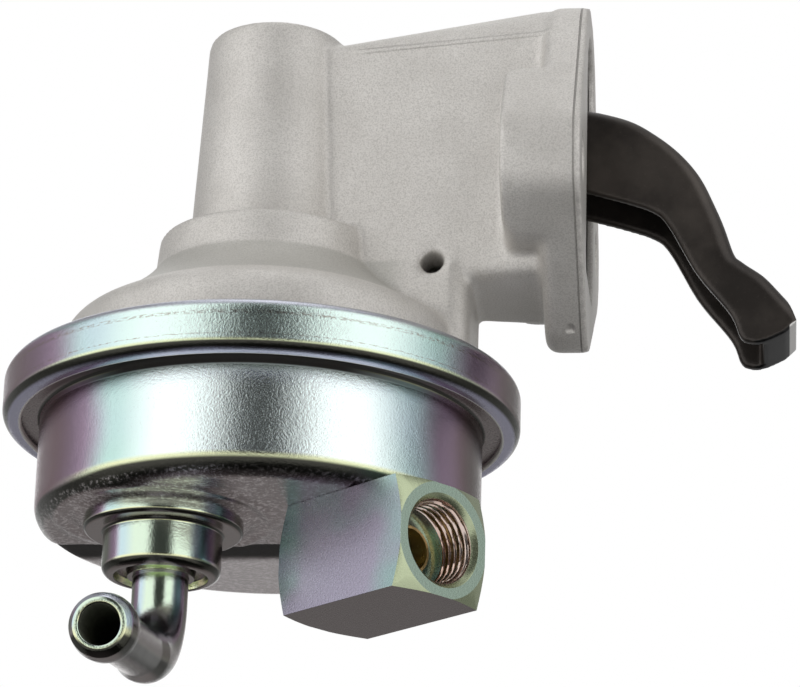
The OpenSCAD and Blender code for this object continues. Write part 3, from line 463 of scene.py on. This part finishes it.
def painted_shade_and_pale_floor(zinc, colour):
    """Near-black painted shade behind the pad's straight edge and inside the crimp, and a paler floor.
    """
    x, y, z = zinc.from_axis()
    ragged = (noise(zinc.place, 160, 3, 0.6) - 0.5) * 1.6
    strip = ((y + ragged * 0.2).step(*PAD_EDGE_Y) * (1 - (y + ragged).step(*PAINTED_SHADE_END_Y))
             * (1 - z.step(*FLOOR_TOP_Z)))
    crimp = z.step(*CRIMP_Z) * (1 - strip) * (1 - abs(x).step(20, 40) * 0.8)
    # Painted shade: near black, with no metallic shine, behind the pad's edge and in the crimp.
    painted_shade_mask = strip * 0.97 + crimp
    zinc.set("Metallic", 1 - painted_shade_mask)
    zinc.set("Roughness", zinc.linked("Roughness") + painted_shade_mask * 0.6)
    # A paler floor: fine sparkling grains, and the floor further back.
    sparkle = noise(zinc.place, 1100, 3, 0.8).step(0.50, 0.60)
    floor = 1 - z.step(-20.2, -19.6)
    marked = floor * (sparkle * 0.40 + (y + ragged * 3).step(13, 17) * 0.7)
    return mix(painted_shade_mask, mix(marked, colour, FLOOR_PALE), PAINTED_SHADE_BLACK)


zinc_can.set("Base Color", painted_shade_and_pale_floor(zinc_can, zinc_can.linked("Base Color")))
# The printed span is the strip of painted shade.
print("scale from", PAD_EDGE_Y[1], "to", PAINTED_SHADE_END_Y[0], "mm behind the axis")

# %% [markdown]
# ## Plain metals
# Some parts have one even surface: a thread, a bore, a spring. Each could have a finish of its own, but
# two close tones that drift, and a fine grain, are enough for all of them, so one function makes it.

# %% A finish for plain metals
def plain_metal(name, dark, light, roughness, metallic=1.0):
    metal = Finish(name, metallic=metallic)
    soft = noise(metal.place, 90, 3, 0.55)
    fine = noise(metal.place, 900, 3, 0.6)
    metal.set("Base Color", mix(soft.step(0.3, 0.7), dark, light))
    metal.set("Roughness", roughness + (fine - 0.5) * 0.2)
    metal.bump(fine, 0.4, 0.04)
    return metal.material


thread_gold = plain_metal("plated_thread", (0.66, 0.46, 0.38), (0.74, 0.62, 0.56), 0.2)
bore_steel = plain_metal("bore_steel", (0.34, 0.36, 0.28), (0.46, 0.48, 0.40), 0.5)
print("plain finishes:", thread_gold.name, bore_steel.name)

# %% [markdown]
# ## Round parts from an outline
# Most parts of the pump are turned or drawn, so each is one outline spun about an axis. The outline is
# a list of corners with a rounding at each, as on a drawing. A stock cylinder with a bevel would be
# quicker, but real sheet steel has no sharp edge and each of its bends has its own radius, and it is
# the rounding that catches the light.

# %% Outlines
def rounded(corners, step_deg=10):
    """A closed outline from corners (r, z, rounding), in mm, with an arc at each rounding."""
    line = []
    for i, (r, z, rounding) in enumerate(corners):
        here = Vector((r, z))
        if rounding <= 0:
            line.append(here)
            continue
        back = (Vector(corners[i - 1][:2]) - here).normalized()
        on = (Vector(corners[(i + 1) % len(corners)][:2]) - here).normalized()
        half = back.angle(on) / 2
        centre = here + (back + on).normalized() * (rounding / math.sin(half))
        start = here + back * (rounding / math.tan(half)) - centre
        turn = (math.pi - 2 * half) * (1 if back.cross(on) < 0 else -1)
        pieces = max(2, math.ceil(abs(math.degrees(turn)) / step_deg))
        for k in range(pieces + 1):
            a = turn * k / pieces
            line.append(centre + Vector((start.x * math.cos(a) - start.y * math.sin(a),
                                         start.x * math.sin(a) + start.y * math.cos(a))))
    return line


def dense(line, gap):
    """The same outline with extra points, so that none is further than gap from the next."""
    out = []
    for i, p in enumerate(line):
        q = line[(i + 1) % len(line)]
        pieces = max(1, math.ceil((q - p).length / gap))
        out += [p.lerp(q, k / pieces) for k in range(pieces)]
    return out


print("a rounded square has", len(rounded([(0, 0, 1), (9, 0, 1), (9, 9, 1), (0, 9, 1)])), "points")

# %% [markdown]
# ## From points to a piece
# Spinning an outline gives rings of points, and each pair of rings is joined by a strip of quads. The
# spin could be left to a modifier. Here the points stay at hand, so that a pressed pad or an uneven
# crimp can be moved into them before the faces are made.

# %% Pieces from rings of points
def make_piece(name, points, faces, finish, stands_for=None, sharp_deg=35):
    """A mesh piece from points in mm about the pump's axis. It rides on the pump's body."""
    mesh = bpy.data.meshes.new(name)
    points = np.asarray(points) * MM + np.array(axis)
    mesh.from_pydata(points.tolist(), [], faces)
    work = bmesh.new()
    work.from_mesh(mesh)
    bmesh.ops.remove_doubles(work, verts=work.verts, dist=1e-7)
    bmesh.ops.recalc_face_normals(work, faces=work.faces)
    work.to_mesh(mesh)
    work.free()
    mesh.shade_smooth()
    mesh.set_sharp_from_angle(angle=math.radians(sharp_deg))
    piece = bpy.data.objects.new(name, mesh)
    scene.collection.objects.link(piece)
    mesh.materials.append(finish)
    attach(piece, "pump")
    if stands_for:
        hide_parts(stands_for)
    print(name, len(mesh.polygons), "faces")
    return piece


def rings_to_faces(count, steps):
    """Quads between rings of points that close on themselves both ways."""
    return [(i * steps + k, i * steps + (k + 1) % steps, (i + 1) % count * steps + (k + 1) % steps,
             (i + 1) % count * steps + k) for i in range(count) for k in range(steps)]


def turned_piece(name, outline, steps, finish, stands_for, centre=(0, 0),
                 shape=None):
    """A piece spun from an outline about an upright line. shape moves its points."""
    a = np.linspace(0, 2 * np.pi, steps, endpoint=False)
    points = np.array([(centre[0] + p[0] * c, centre[1] + p[0] * s, p[1])
                       for p in outline for c, s in zip(np.cos(a), np.sin(a))])
    if shape:
        points = shape(points)
    return make_piece(name, points, rings_to_faces(len(outline), steps), finish, stands_for)


print("two rings of four points make", len(rings_to_faces(2, 4)), "quads")

# %% [markdown]
# ## The crimp ring
# The ring is a strip of sheet steel rolled round the stack of casting, diaphragm and can, and pressed
# over both. It could be a thick tube, but its soft outer bend and the cut edge of each lip are what
# the light picks out, so the sheet's whole section is drawn and spun. No crimp is quite even, so the
# upper lip wanders by a twentieth of a millimetre.

# %% Roll the crimp ring
RING_R, RING_H, SHEET = 50.8, 10.2, 1.2
UPPER_LIP_R, LOWER_LIP_R = 45.5, 47.0
RING_GAP, RING_STEPS = 1.2, 288
LIP_WANDER = 0.05
ring_outline = dense(rounded([
    (UPPER_LIP_R, RING_H, 0.45), (RING_R, RING_H, 2.6), (RING_R, 0, 2.3), (LOWER_LIP_R, 0, 0.45),
    (LOWER_LIP_R, SHEET, 0.2), (RING_R - SHEET, SHEET, 0.5), (RING_R - SHEET, RING_H - SHEET, 0.5),
    (UPPER_LIP_R, RING_H - SHEET, 0.2)]), RING_GAP)


def wander(points):
    """The unevenness of a hand-set crimp: slow waves round the upper lip."""
    a = np.arctan2(points[:, 1], points[:, 0])
    wave = 0.5 * np.sin(7 * a + 0.6) + 0.3 * np.sin(17 * a + 2.1) + 0.2 * np.sin(31 * a)
    height = np.clip((points[:, 2] - 7) / 2, 0, 1)
    upper = height * np.clip((49 - np.hypot(*points[:, :2].T)) / 2, 0, 1)
    points[:, 2] += LIP_WANDER * wave * upper
    return points


turned_piece("rolled_ring", ring_outline, RING_STEPS, zinc_ring.material, "crimp_ring",
             shape=wander)

# %% [markdown]
# ## The can
# The can is deep-drawn, so its wall runs into the floor in one soft bend. The floor isn't flat: its
# front part is pressed 0.8 mm lower as a seat for the two fittings, and a shallow swell rises round
# the inlet. The pad could be a separate plate, but both are moves of the spun mesh's points instead,
# which keeps the sheet in one piece as a press does.

# %% Draw the can
CAN_R, CAN_FLOOR = 43.4, -20.6
CAN_RIM_R = 49.45
CAN_GAP, CAN_STEPS = 0.62, 320
INLET = (-15.9, -14.3)
PAD_DEPTH, SWELL, SWELL_RING, SWELL_RING_R = 0.8, 0.9, 0.5, 20.5
can_outline = dense(rounded([
    (0, CAN_FLOOR, 0), (CAN_R, CAN_FLOOR, 4.6), (CAN_R, SHEET, 1.0), (CAN_RIM_R, SHEET, 0),
    (CAN_RIM_R, 2 * SHEET, 0), (CAN_R - SHEET, 2 * SHEET, 1.6),
    (CAN_R - SHEET, CAN_FLOOR + SHEET, 3.4), (0, CAN_FLOOR + SHEET, 0)]), CAN_GAP)


def ease(low, high, v):
    """0 below low, 1 above high, and smooth between them, for arrays."""
    t = np.clip((v - low) / (high - low), 0, 1)
    return t * t * (3 - 2 * t)


def press_floor(points):
    """The pad under the fittings and the swell round the inlet."""
    low = 1 - ease(-17, -13, points[:, 2])
    pad = PAD_DEPTH * (1 - ease(2.2, 3.8, points[:, 1]))
    off = np.hypot(points[:, 0] - INLET[0], points[:, 1] - INLET[1])
    swell = SWELL * (1 - ease(15.3, 18.5, off))
    swell += SWELL_RING * np.exp(-((off - SWELL_RING_R) / 1.5) ** 2)
    points[:, 2] -= low * (pad + swell)
    return points


turned_piece("drawn_can", can_outline, CAN_STEPS, zinc_can.material, "lower_shell",
             shape=press_floor)

# %% [markdown]
# ## The inlet's boss
# The boss is turned from bar: a disc under a cup, with a groove in the cup's end face round the tube.
# The groove could be relief in the finish, but it is seen at a slant and its shadow shows, so it is
# cut into the outline.

# %% Turn the boss
DISC_R, CUP_R, THROAT_R, TUBE_SEAT_R = 15.3, 11.4, 4.0, 5.37
DISC_Z, CUP_Z, CUP_END, TUBE_TOP = -22.0, -24.6, -33.3, -25.0
GROOVE_Z = CUP_END + 1.5
boss_outline = dense(rounded([
    (THROAT_R, DISC_Z, 0), (DISC_R, DISC_Z, 0.2), (DISC_R, CUP_Z, 1.0), (CUP_R, CUP_Z, 0.7),
    (CUP_R, CUP_END, 2.0), (9.0, CUP_END, 0.25), (8.6, GROOVE_Z, 0.2), (6.6, GROOVE_Z, 0.2),
    (6.4, CUP_END, 0.15), (TUBE_SEAT_R, CUP_END, 0.1), (TUBE_SEAT_R, TUBE_TOP, 0),
    (THROAT_R, TUBE_TOP, 0)], 8), 1.0)
turned_piece("turned_boss", boss_outline, 160, zinc_fitting.material, "inlet_boss",
             INLET)

# %% [markdown]
# ## The inlet's tube
# The tube is bent on a former, and its mouth is rolled into a bead that keeps the hose on. A curve
# with a bevel gives a bent tube of one width only. A sweep gives the bead too: a circle whose centre
# follows the bend while its radius follows the outline.

# %% The line of the tube
TUBE_CORNER, BEND_R, NIPPLE_LEN = -49.9, 13.0, 48.0
TUBE_TURN = math.radians(83)
ASIDE = math.radians(-2.3)
level = Vector((math.sin(ASIDE), -math.cos(ASIDE), 0))
corner_reach = BEND_R * math.tan(TUBE_TURN / 2)
first_len = TUBE_TOP - (TUBE_CORNER + corner_reach)
bend_len = BEND_R * TUBE_TURN


def tube_line(s):
    """The tube's centre and direction at a length s from its top."""
    down, start = Vector((0, 0, -1)), Vector((*INLET, TUBE_TOP))
    if s <= first_len:
        return start + down * s, down
    a = min((s - first_len) / BEND_R, TUBE_TURN)
    way = down * math.cos(a) + level * math.sin(a)
    drop = down * (first_len + BEND_R * math.sin(a))
    turned = start + drop + level * BEND_R * (1 - math.cos(a))
    return turned + way * max(0, s - first_len - bend_len), way


print("the tube is", round(first_len, 1), "mm straight, then bends over", round(bend_len, 1), "mm")

# %% Sweep the tube
TUBE_STEPS = 72
BORE_R, TUBE_R, NIPPLE_R, BEAD_R, MOUTH_R = 3.75, 5.35, 4.8, 6.2, 4.45
taper = first_len + bend_len
mouth = taper - corner_reach + NIPPLE_LEN
bead = mouth - 6.5
tube_outline = dense(rounded([
    (BORE_R, 0, 0), (TUBE_R, 0, 0), (TUBE_R, taper + 1, 3), (NIPPLE_R, taper + 5, 3),
    (NIPPLE_R, bead, 0.35), (BEAD_R, bead + 0.6, 0.45), (BEAD_R, bead + 2.6, 0.8),
    (5.85, mouth - 1.5, 1.0), (4.9, mouth - 0.2, 0.3), (MOUTH_R, mouth, 0.15),
    (BORE_R, mouth, 0.35)], 12), 0.9)
across = Vector((0, 0, -1)).cross(level)
points = []
for r, s in tube_outline:
    centre, way = tube_line(s)
    other = way.cross(across)
    points += [centre + (across * math.cos(a) + other * math.sin(a)) * r
               for a in np.linspace(0, 2 * math.pi, TUBE_STEPS, endpoint=False)]
tube = make_piece("bent_tube", points, rings_to_faces(len(tube_outline), TUBE_STEPS),
                  zinc_fitting.material, "inlet_elbow")

# %% Leave the bore unplated
tube.data.materials.append(bore_steel)
for face in tube.data.polygons:
    row = face.index // TUBE_STEPS
    next_row = (row + 1) % len(tube_outline)
    face.material_index = int(max(tube_outline[row][0], tube_outline[next_row][0]) < BORE_R + 0.05)
print("bore faces:", sum(face.material_index for face in tube.data.polygons))

# %% [markdown]
# ## The cast finish
# The housing is a die casting, shot-blasted after it was poured: pale grey, with a fine grain, faint
# stains and no shine. A darker band under the collar is painted shade. The parting seam, a dimple and a
# ridge along the wall's top are less than half a millimetre high, finer than the cells that the skin
# is rebuilt from, so they are relief in the finish and not in the mesh.

# %% Cast alloy
DIMPLE_X, DIMPLE_Z = 60.8, 19.4
# The heights of the band of painted shade under the collar.
COLLAR_SHADE_Z = (23.0, 32.4)
FLANGE_GROOVE_X = (-1.5, -1.2)
WALL_TOP_Z, WALL_TOP_SLOPE = 77.8, 0.018


def cast_alloy():
    cast = Finish("cast_alloy", metallic=0.5)
    grain = noise(cast.place, 2900, 3, 0.75)
    patch = noise(cast.place, 70, 4, 0.6)
    stain = noise(cast.place, 22, 3, 0.55)
    x, y, z = cast.from_axis()
    groove = (split(cast.place)[0] / MM).band(*FLANGE_GROOVE_X, 0.12)
    # Painted shade: a darker band under the collar.
    collar_shade = z.band(*COLLAR_SHADE_Z, 0.5) * (1 - x.step(24, 30))
    base = mix(patch.step(0.3, 0.75), (0.70, 0.675, 0.64), (0.80, 0.775, 0.74))
    base = mix(stain.step(0.50, 0.78) * 0.4, base, (0.56, 0.54, 0.48))
    base = mix(grain.step(0.40, 0.66) * 0.5, base, (0.42, 0.40, 0.37))
    base = mix(collar_shade * 0.45, base, (0.40, 0.40, 0.36))
    base = mix(groove * 0.6, base, (0.16, 0.15, 0.14))
    cast.set("Base Color", base)
    cast.set("Roughness", 0.46 + (grain - 0.5) * 0.25 + (patch - 0.5) * 0.12)
    above = z - (x * WALL_TOP_SLOPE + WALL_TOP_Z)
    wall_top = above.band(-0.5, 0.5, 0.3) * x.band(18, 57, 3) * (1 - y.step(-9, -7))
    seam = (1 - abs(y).step(0.15, 0.55)) * (1 - x.step(-12, -10))
    beside, over = x - DIMPLE_X, z - DIMPLE_Z
    off = (beside * beside + over * over) ** 0.5
    dimple = (1 - off.step(0.4, 1.2)) * (1 - y.step(-6, -5))
    cast.bump(seam - groove, 1.0, 0.3)
    cast.bump(wall_top, 1.0, 0.35)
    cast.bump(-dimple, 1.0, 0.5)
    cast.bump(grain, 0.8, 0.12)
    cast.bump(patch, 0.25, 0.3)
    return cast.material


cast_skin = cast_alloy()
# The printed band is painted shade under the collar.
print("dressed band from", COLLAR_SHADE_Z[0], "to", COLLAR_SHADE_Z[1], "mm above the ring's foot")

# %% [markdown]
# ## The casting
# Where a casting's walls meet there is always a fillet, because metal doesn't flow round a sharp
# corner. The measured solid has the right walls and no fillets. A bevel fails where many faces meet at
# odd angles, as here. Rebuilding the skin from small cells, then relaxing it, rounds inner and outer
# corners alike, as the mould does.

# %% Rebuild the casting's skin
def copy_of(source, name):
    """A new object with a copy of a solid's mesh."""
    piece = bpy.data.objects.new(name, nodes[source].data.copy())
    scene.collection.objects.link(piece)
    return piece


def settle(piece):
    """Puts the result of the piece's modifiers into its mesh, and removes them."""
    graph = bpy.context.evaluated_depsgraph_get()
    mesh = bpy.data.meshes.new_from_object(piece.evaluated_get(graph))
    piece.modifiers.clear()
    piece.data = mesh
    return mesh


def reskin(name, source, cell_mm, relax, body, finish, shape=None):
    """A copy of a solid, rebuilt from cells and relaxed. shape moves its points in between."""
    piece = copy_of(source, name)
    cells = piece.modifiers.new("cells", "REMESH")
    cells.mode = "VOXEL"
    cells.voxel_size = cell_mm * MM
    mesh = settle(piece)
    if shape:
        flat = np.empty(len(mesh.vertices) * 3)
        mesh.vertices.foreach_get("co", flat)
        moved = shape((flat.reshape(-1, 3) - np.array(axis)) / MM)
        mesh.vertices.foreach_set("co", (moved * MM + np.array(axis)).ravel())
    smooth = piece.modifiers.new("relax", "SMOOTH")
    smooth.factor = 0.5
    smooth.iterations = relax
    mesh = settle(piece)
    mesh.materials.clear()
    mesh.materials.append(finish)
    mesh.shade_smooth()
    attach(piece, body)
    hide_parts(source)
    print(name, sum(len(p.vertices) - 2 for p in mesh.polygons), "triangles")


reskin("cast_housing", "upper_casting", 0.8, 3, "pump", cast_skin)

# %% [markdown]
# ## The arm's finish
# The arm is pressed from thick sheet, with a dark oiled skin over it. Plain black would hide its form.
# The oiled skin is uneven, so two noises vary its tone and gloss, and its foot, where the sheet was
# cut, ends in a strip of bright steel. Just before it, the faces that look down are painted near black
# as painted shade.

# %% Black oxide
FOOT_X, CUT_X = (96, 97), (103.1, 103.4)


def black_oxide():
    black = Finish("black_oxide", metallic=0.55)
    cloud = noise(black.place, 60, 4, 0.6)
    fine = noise(black.place, 1400, 3, 0.65)
    base = mix(cloud.step(0.35, 0.7), (0.040, 0.034, 0.030), (0.078, 0.066, 0.057))
    base = mix(fine.step(0.6, 0.75) * 0.3, base, (0.12, 0.10, 0.09))
    x = black.from_axis()[0]
    ahead, _, up = split(black.facing)
    down = (ahead * 0.5 - up).step(0.35, 0.6)
    # Painted shade: the faces that look down near the foot are painted near black.
    base = mix(x.step(*FOOT_X) * down, base, (0.004, 0.004, 0.004))
    black.set("Base Color", mix(x.step(*CUT_X) * down, base, (0.75, 0.74, 0.72)))
    black.set("Roughness", 0.36 + (cloud - 0.5) * 0.2)
    black.bump(fine, 0.35, 0.05)
    black.bump(cloud, 0.2, 0.2)
    return black.material


black_skin = black_oxide()
print("the arm is cut", CUT_X[0], "mm from the axis")

# %% [markdown]
# ## The rocker arm
# The arm is a channel, and the press leaves a wide soft bend between its web and its cheeks. The
# measured solid has a sharp corner there. Relaxing alone would need many rounds and thin the edges, so
# first each point near the corner is drawn in to a circle that touches both faces.

# %% The arm's back
ARM_W, ARM_BEND, ARM_CROWN = 16.6, 3.2, 1.2
ARM_BACK = [(31, 61.5), (40, 65), (48, 67.3), (56, 67.3), (63.3, 65.2), (71.2, 62.9), (76.2, 60),
            (81.1, 55.9), (85, 50.9), (88, 44.5), (91.8, 35.3), (94.1, 33), (98.6, 30),
            (102.6, 25.6)]
FAR = 1e9


def smooth_line(points, pieces=6):
    """A curve through points, the same one that shapes the measured solid."""
    out = []
    for i in range(len(points) - 1):
        a, b, c, d = (np.array(points[min(max(j, 0), len(points) - 1)])
                      for j in range(i - 1, i + 3))
        for t in np.arange(pieces) / pieces:
            out.append(0.5 * (2 * b + t * (c - a) + t * t * (2 * a - 5 * b + 4 * c - d)
                              + t ** 3 * (3 * b - a - 3 * c + d)))
    return np.array(out + [np.array(points[-1])])


def from_back(flat):
    """How deep each point lies under the arm's back, and the inward direction there."""
    back = smooth_line(ARM_BACK)
    nearest = np.full(len(flat), FAR)
    depth = np.zeros(len(flat))
    way = np.zeros_like(flat)
    for p, q in zip(back[:-1], back[1:]):
        along = (q - p) / np.linalg.norm(q - p)
        t = np.clip((flat - p) @ along, 0, np.linalg.norm(q - p))
        gap = flat - (p + t[:, None] * along)
        far = np.linalg.norm(gap, axis=1)
        inward = np.array([along[1], -along[0]])
        nearer = far < nearest
        nearest[nearer] = far[nearer]
        depth[nearer] = (gap @ inward)[nearer]
        way[nearer] = inward
    return depth, way


print("the back has", len(smooth_line(ARM_BACK)), "points")

# %% Round the arm's bend
def round_bend(points):
    """Draws the corner between web and cheeks in to a circle, and crowns the back."""
    flat = points[:, [0, 2]]
    depth, way = from_back(flat)
    side = ARM_W / 2 - np.abs(points[:, 1])
    a, b = ARM_BEND - side, ARM_BEND - depth
    reach = np.hypot(a, b)
    bent = (a > 0) & (b > 0) & (reach > ARM_BEND) & (flat[:, 0] > 33)
    draw = np.where(bent, 1 - ARM_BEND / np.maximum(reach, 1e-6), 0)
    points[:, 1] -= np.sign(points[:, 1]) * a * draw
    crown = (ARM_CROWN * (1 - ease(0, 14, depth)) * ease(58, 66, flat[:, 0])
             * ease(27, 42, flat[:, 1]))
    points[:, [0, 2]] += way * (b * draw - crown)[:, None]
    return points


reskin("pressed_arm", "rocker_arm", 0.5, 2, "rocker", black_skin, round_bend)

# %% [markdown]
# ## The block's finish
# The outlet block carries the same plating on drawn bar. Its faces are flat, so each flat takes one
# tint of the film, and the faced end, cut across the grain, is pale green. The flats that look down
# take painted shade, and the broken edges by the cone a cream painted highlight. The film's colours
# could be reused, but they are made for round walls, so the tint goes by the direction along the bar
# instead.

# %% Plated bar
BAR_TURN = math.radians(-41)


def plated_bar():
    """Each flat has its own tint, the down-facing flats take painted shade, the cone's broken edges a
    cream painted highlight, and the faced end is pale green.
    """
    zinc = Finish("plated_bar", metallic=1.0)
    x, y, rise = split(zinc.facing)
    along = x * math.cos(BAR_TURN) + y * math.sin(BAR_TURN)
    spot = noise(zinc.place, 45)
    grit = noise(zinc.place, 2600, 3, 0.65)
    tint = mix(spot.step(0.36, 0.62), (0.44, 0.41, 0.52), (0.36, 0.55, 0.52))
    # Painted shade on the flats that look down.
    tint = mix((-rise).step(0.5, 0.8), tint, (0.20, 0.16, 0.155))
    tint = mix(along.step(0.30, 0.55), tint, (0.46, 0.52, 0.34))
    # A cream painted highlight on the broken edges between the flats and the cone.
    tint = mix(along.band(0.10, 0.26, 0.04), tint, (0.95, 0.90, 0.76))
    tint = mix(along.step(0.93, 0.98), tint, (0.42, 0.54, 0.45))
    zinc.set("Base Color", mix(grit.step(0.58, 0.76) * 0.3, tint, (0.60, 0.56, 0.52)))
    zinc.set("Roughness", 0.28 + (grit - 0.5) * 0.16)
    zinc.bump(grit, 0.8, 0.032)
    return zinc.material


zinc_bar = plated_bar()
print("bar finish:", zinc_bar.name)

# %% [markdown]
# ## The outlet block
# The block is a length of square bar, chucked in a lathe: its ends are faced and coned, which leaves
# the curved edges where a cone cuts the flats. The measured solid already has these forms, so it stays.
# It only needs its edges broken, which a bevel does, once its flats are single faces again.

# %% Break the block's edges
EDGE_MM = 0.28

block = nodes["outlet_block"]
block.data.materials.clear()
block.data.materials.append(zinc_bar)
weld = block.modifiers.new("weld", "WELD")
weld.merge_threshold = 0.002 * MM
flats = block.modifiers.new("flats", "DECIMATE")
flats.decimate_type = "DISSOLVE"
flats.angle_limit = math.radians(1)
bevel = block.modifiers.new("broken_edges", "BEVEL")
bevel.width = EDGE_MM * MM
bevel.segments = 2
bevel.limit_method = "ANGLE"
bevel.angle_limit = math.radians(28)
print("edges broken by", bevel.width / MM, "mm")

# %% [markdown]
# ## The port's thread
# A thread is a ridge that climbs one pitch a turn. Rings of equal height would look alike from most
# sides, but their ends would give them away at the mouth. Here the ridge is worked out from depth and
# angle together, and it fades in over its first turn, as a tap leaves it.

# %% Cut the port's thread
OUTLET_R, OUTLET_FLAT, OUTLET_LEN, PAD_Z = 36.0, 21.4, 33.4, -21.4
PITCH, THREAD_H, PORT_R, PORT_DEPTH = 1.5, 0.55, 8.0, 8.2
THREAD_START, THREAD_FADE, PER_TURN, THREAD_STEPS = 1.0, 1.2, 10, 96
outward = Vector((math.cos(BAR_TURN), math.sin(BAR_TURN), 0))
sideways = Vector((-math.sin(BAR_TURN), math.cos(BAR_TURN), 0))
port_mouth = outward * (OUTLET_R + OUTLET_LEN / 2) + Vector((0, 0, PAD_Z - OUTLET_FLAT / 2))


def port_ring(depth, radius_at):
    """A ring of points in the port. radius_at gives its radius at each part of a turn."""
    ring = []
    for k in range(THREAD_STEPS):
        a = 2 * math.pi * k / THREAD_STEPS
        spoke = sideways * math.cos(a) + Vector((0, 0, math.sin(a)))
        ring.append(port_mouth - outward * depth + spoke * radius_at(k / THREAD_STEPS))
    return ring


def thread_radius(depth, part):
    phase = (depth / PITCH - part) % 1
    ridge = min(1, 2.4 * (1 - abs(2 * phase - 1)))
    fade = min(1, (depth - THREAD_START) / THREAD_FADE)
    return PORT_R - 0.03 - THREAD_H * ridge * fade


depths = np.arange(THREAD_START, PORT_DEPTH - 0.1, PITCH / PER_TURN)
points = []
for depth in depths:
    points += port_ring(depth, lambda part: thread_radius(depth, part))
for depth in (depths[-1], depths[0]):
    points += port_ring(depth, lambda part: PORT_R - 0.015)
make_piece("port_thread", points, rings_to_faces(len(depths) + 2, THREAD_STEPS), thread_gold,
           sharp_deg=50)

# %% [markdown]
# ## Parts inside
# The valves, the diaphragm and the springs are hidden until the pump is cut open. Only the seat shows,
# deep in the port, and the plug of the pin's bore on the far side. Each could be left bare, but a part
# that is opened later should be whole, so each gets a plain finish of its own material.

# %% Finishes for the inner parts
INNER = [
    ("seat_brass", (0.62, 0.46, 0.20), (0.78, 0.62, 0.32), 0.3, 1.0, ["outlet_flare_seat"]),
    ("valve_alloy", (0.50, 0.49, 0.46), (0.62, 0.61, 0.58), 0.45, 1.0, ["valve_body"]),
    ("plain_steel", (0.42, 0.42, 0.42), (0.56, 0.56, 0.55), 0.32, 1.0,
     ["inlet_valve_cage", "outlet_valve_cage", "upper_diaphragm_plate", "rivet_washer",
      "lower_diaphragm_plate", "pull_rod", "oil_seal_retainer", "pivot_pin", "pin_plug",
      "diaphragm_link"]),
    ("spring_steel", (0.30, 0.30, 0.31), (0.42, 0.42, 0.43), 0.35, 1.0,
     ["inlet_valve_spring", "outlet_valve_spring", "diaphragm_spring", "rocker_return_spring"]),
    ("black_rubber", (0.02, 0.02, 0.02), (0.04, 0.04, 0.038), 0.65, 0.0,
     ["inlet_valve_disc", "outlet_valve_disc", "diaphragm", "oil_seal"]),
]
for finish_name, dark, light, roughness, metallic, sources in INNER:
    finish = plain_metal(finish_name, dark, light, roughness, metallic)
    for source in sources:
        nodes[source].data.materials.clear()
        nodes[source].data.materials.append(finish)
    print(finish_name, "on", len(sources))

# %% [markdown]
# ## Springs
# A coil spring rests on one part and bears on another. Each one here is a copy of its measured solid
# that rides on the pump's body, and the script prints the share of its length that it would keep under
# just the travel of the part that it bears on. For the arm's spring, that travel also counts the arm's
# tilt.

# %% Copy the springs
ARM_SWING = math.radians(8)
VALVE_LIFT = 1.2
PIVOT_X = 56


def springy(name, source, travel_mm, pusher, tilts=False):
    """A copy of a spring on the pump's body, and the share of its length that the pushing part's travel
    leaves.
    """
    low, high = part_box(source)
    if tilts:
        travel_mm += (high.x - low.x) / 2 / MM * math.sin(ARM_SWING)
    push_low, push_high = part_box(pusher)
    from_below = push_low.z + push_high.z < low.z + high.z
    seat = (low + high) / 2
    seat.z = high.z if from_below else low.z
    piece = copy_of(source, name)
    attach(piece, "pump")
    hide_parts(source)
    keep = 1 - travel_mm * MM / (high.z - low.z)
    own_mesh(piece)
    print(name, "keeps", round(keep, 2), "pushed from", "below" if from_below else "above")


def swing_at(name):
    """How far the arm moves up or down at a part's place, in mm."""
    low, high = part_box(name)
    arm = axis.x / MM + PIVOT_X - (low.x + high.x) / 2 / MM
    return arm * math.sin(ARM_SWING)


springy("diaphragm_coil", "diaphragm_spring", swing_at("pull_rod"),
        "upper_diaphragm_plate")
springy("return_coil", "rocker_return_spring", swing_at("rocker_return_spring"),
        "rocker_arm", tilts=True)
springy("inlet_coil", "inlet_valve_spring", VALVE_LIFT, "inlet_valve_disc")
springy("outlet_coil", "outlet_valve_spring", VALVE_LIFT,
        "outlet_valve_disc")
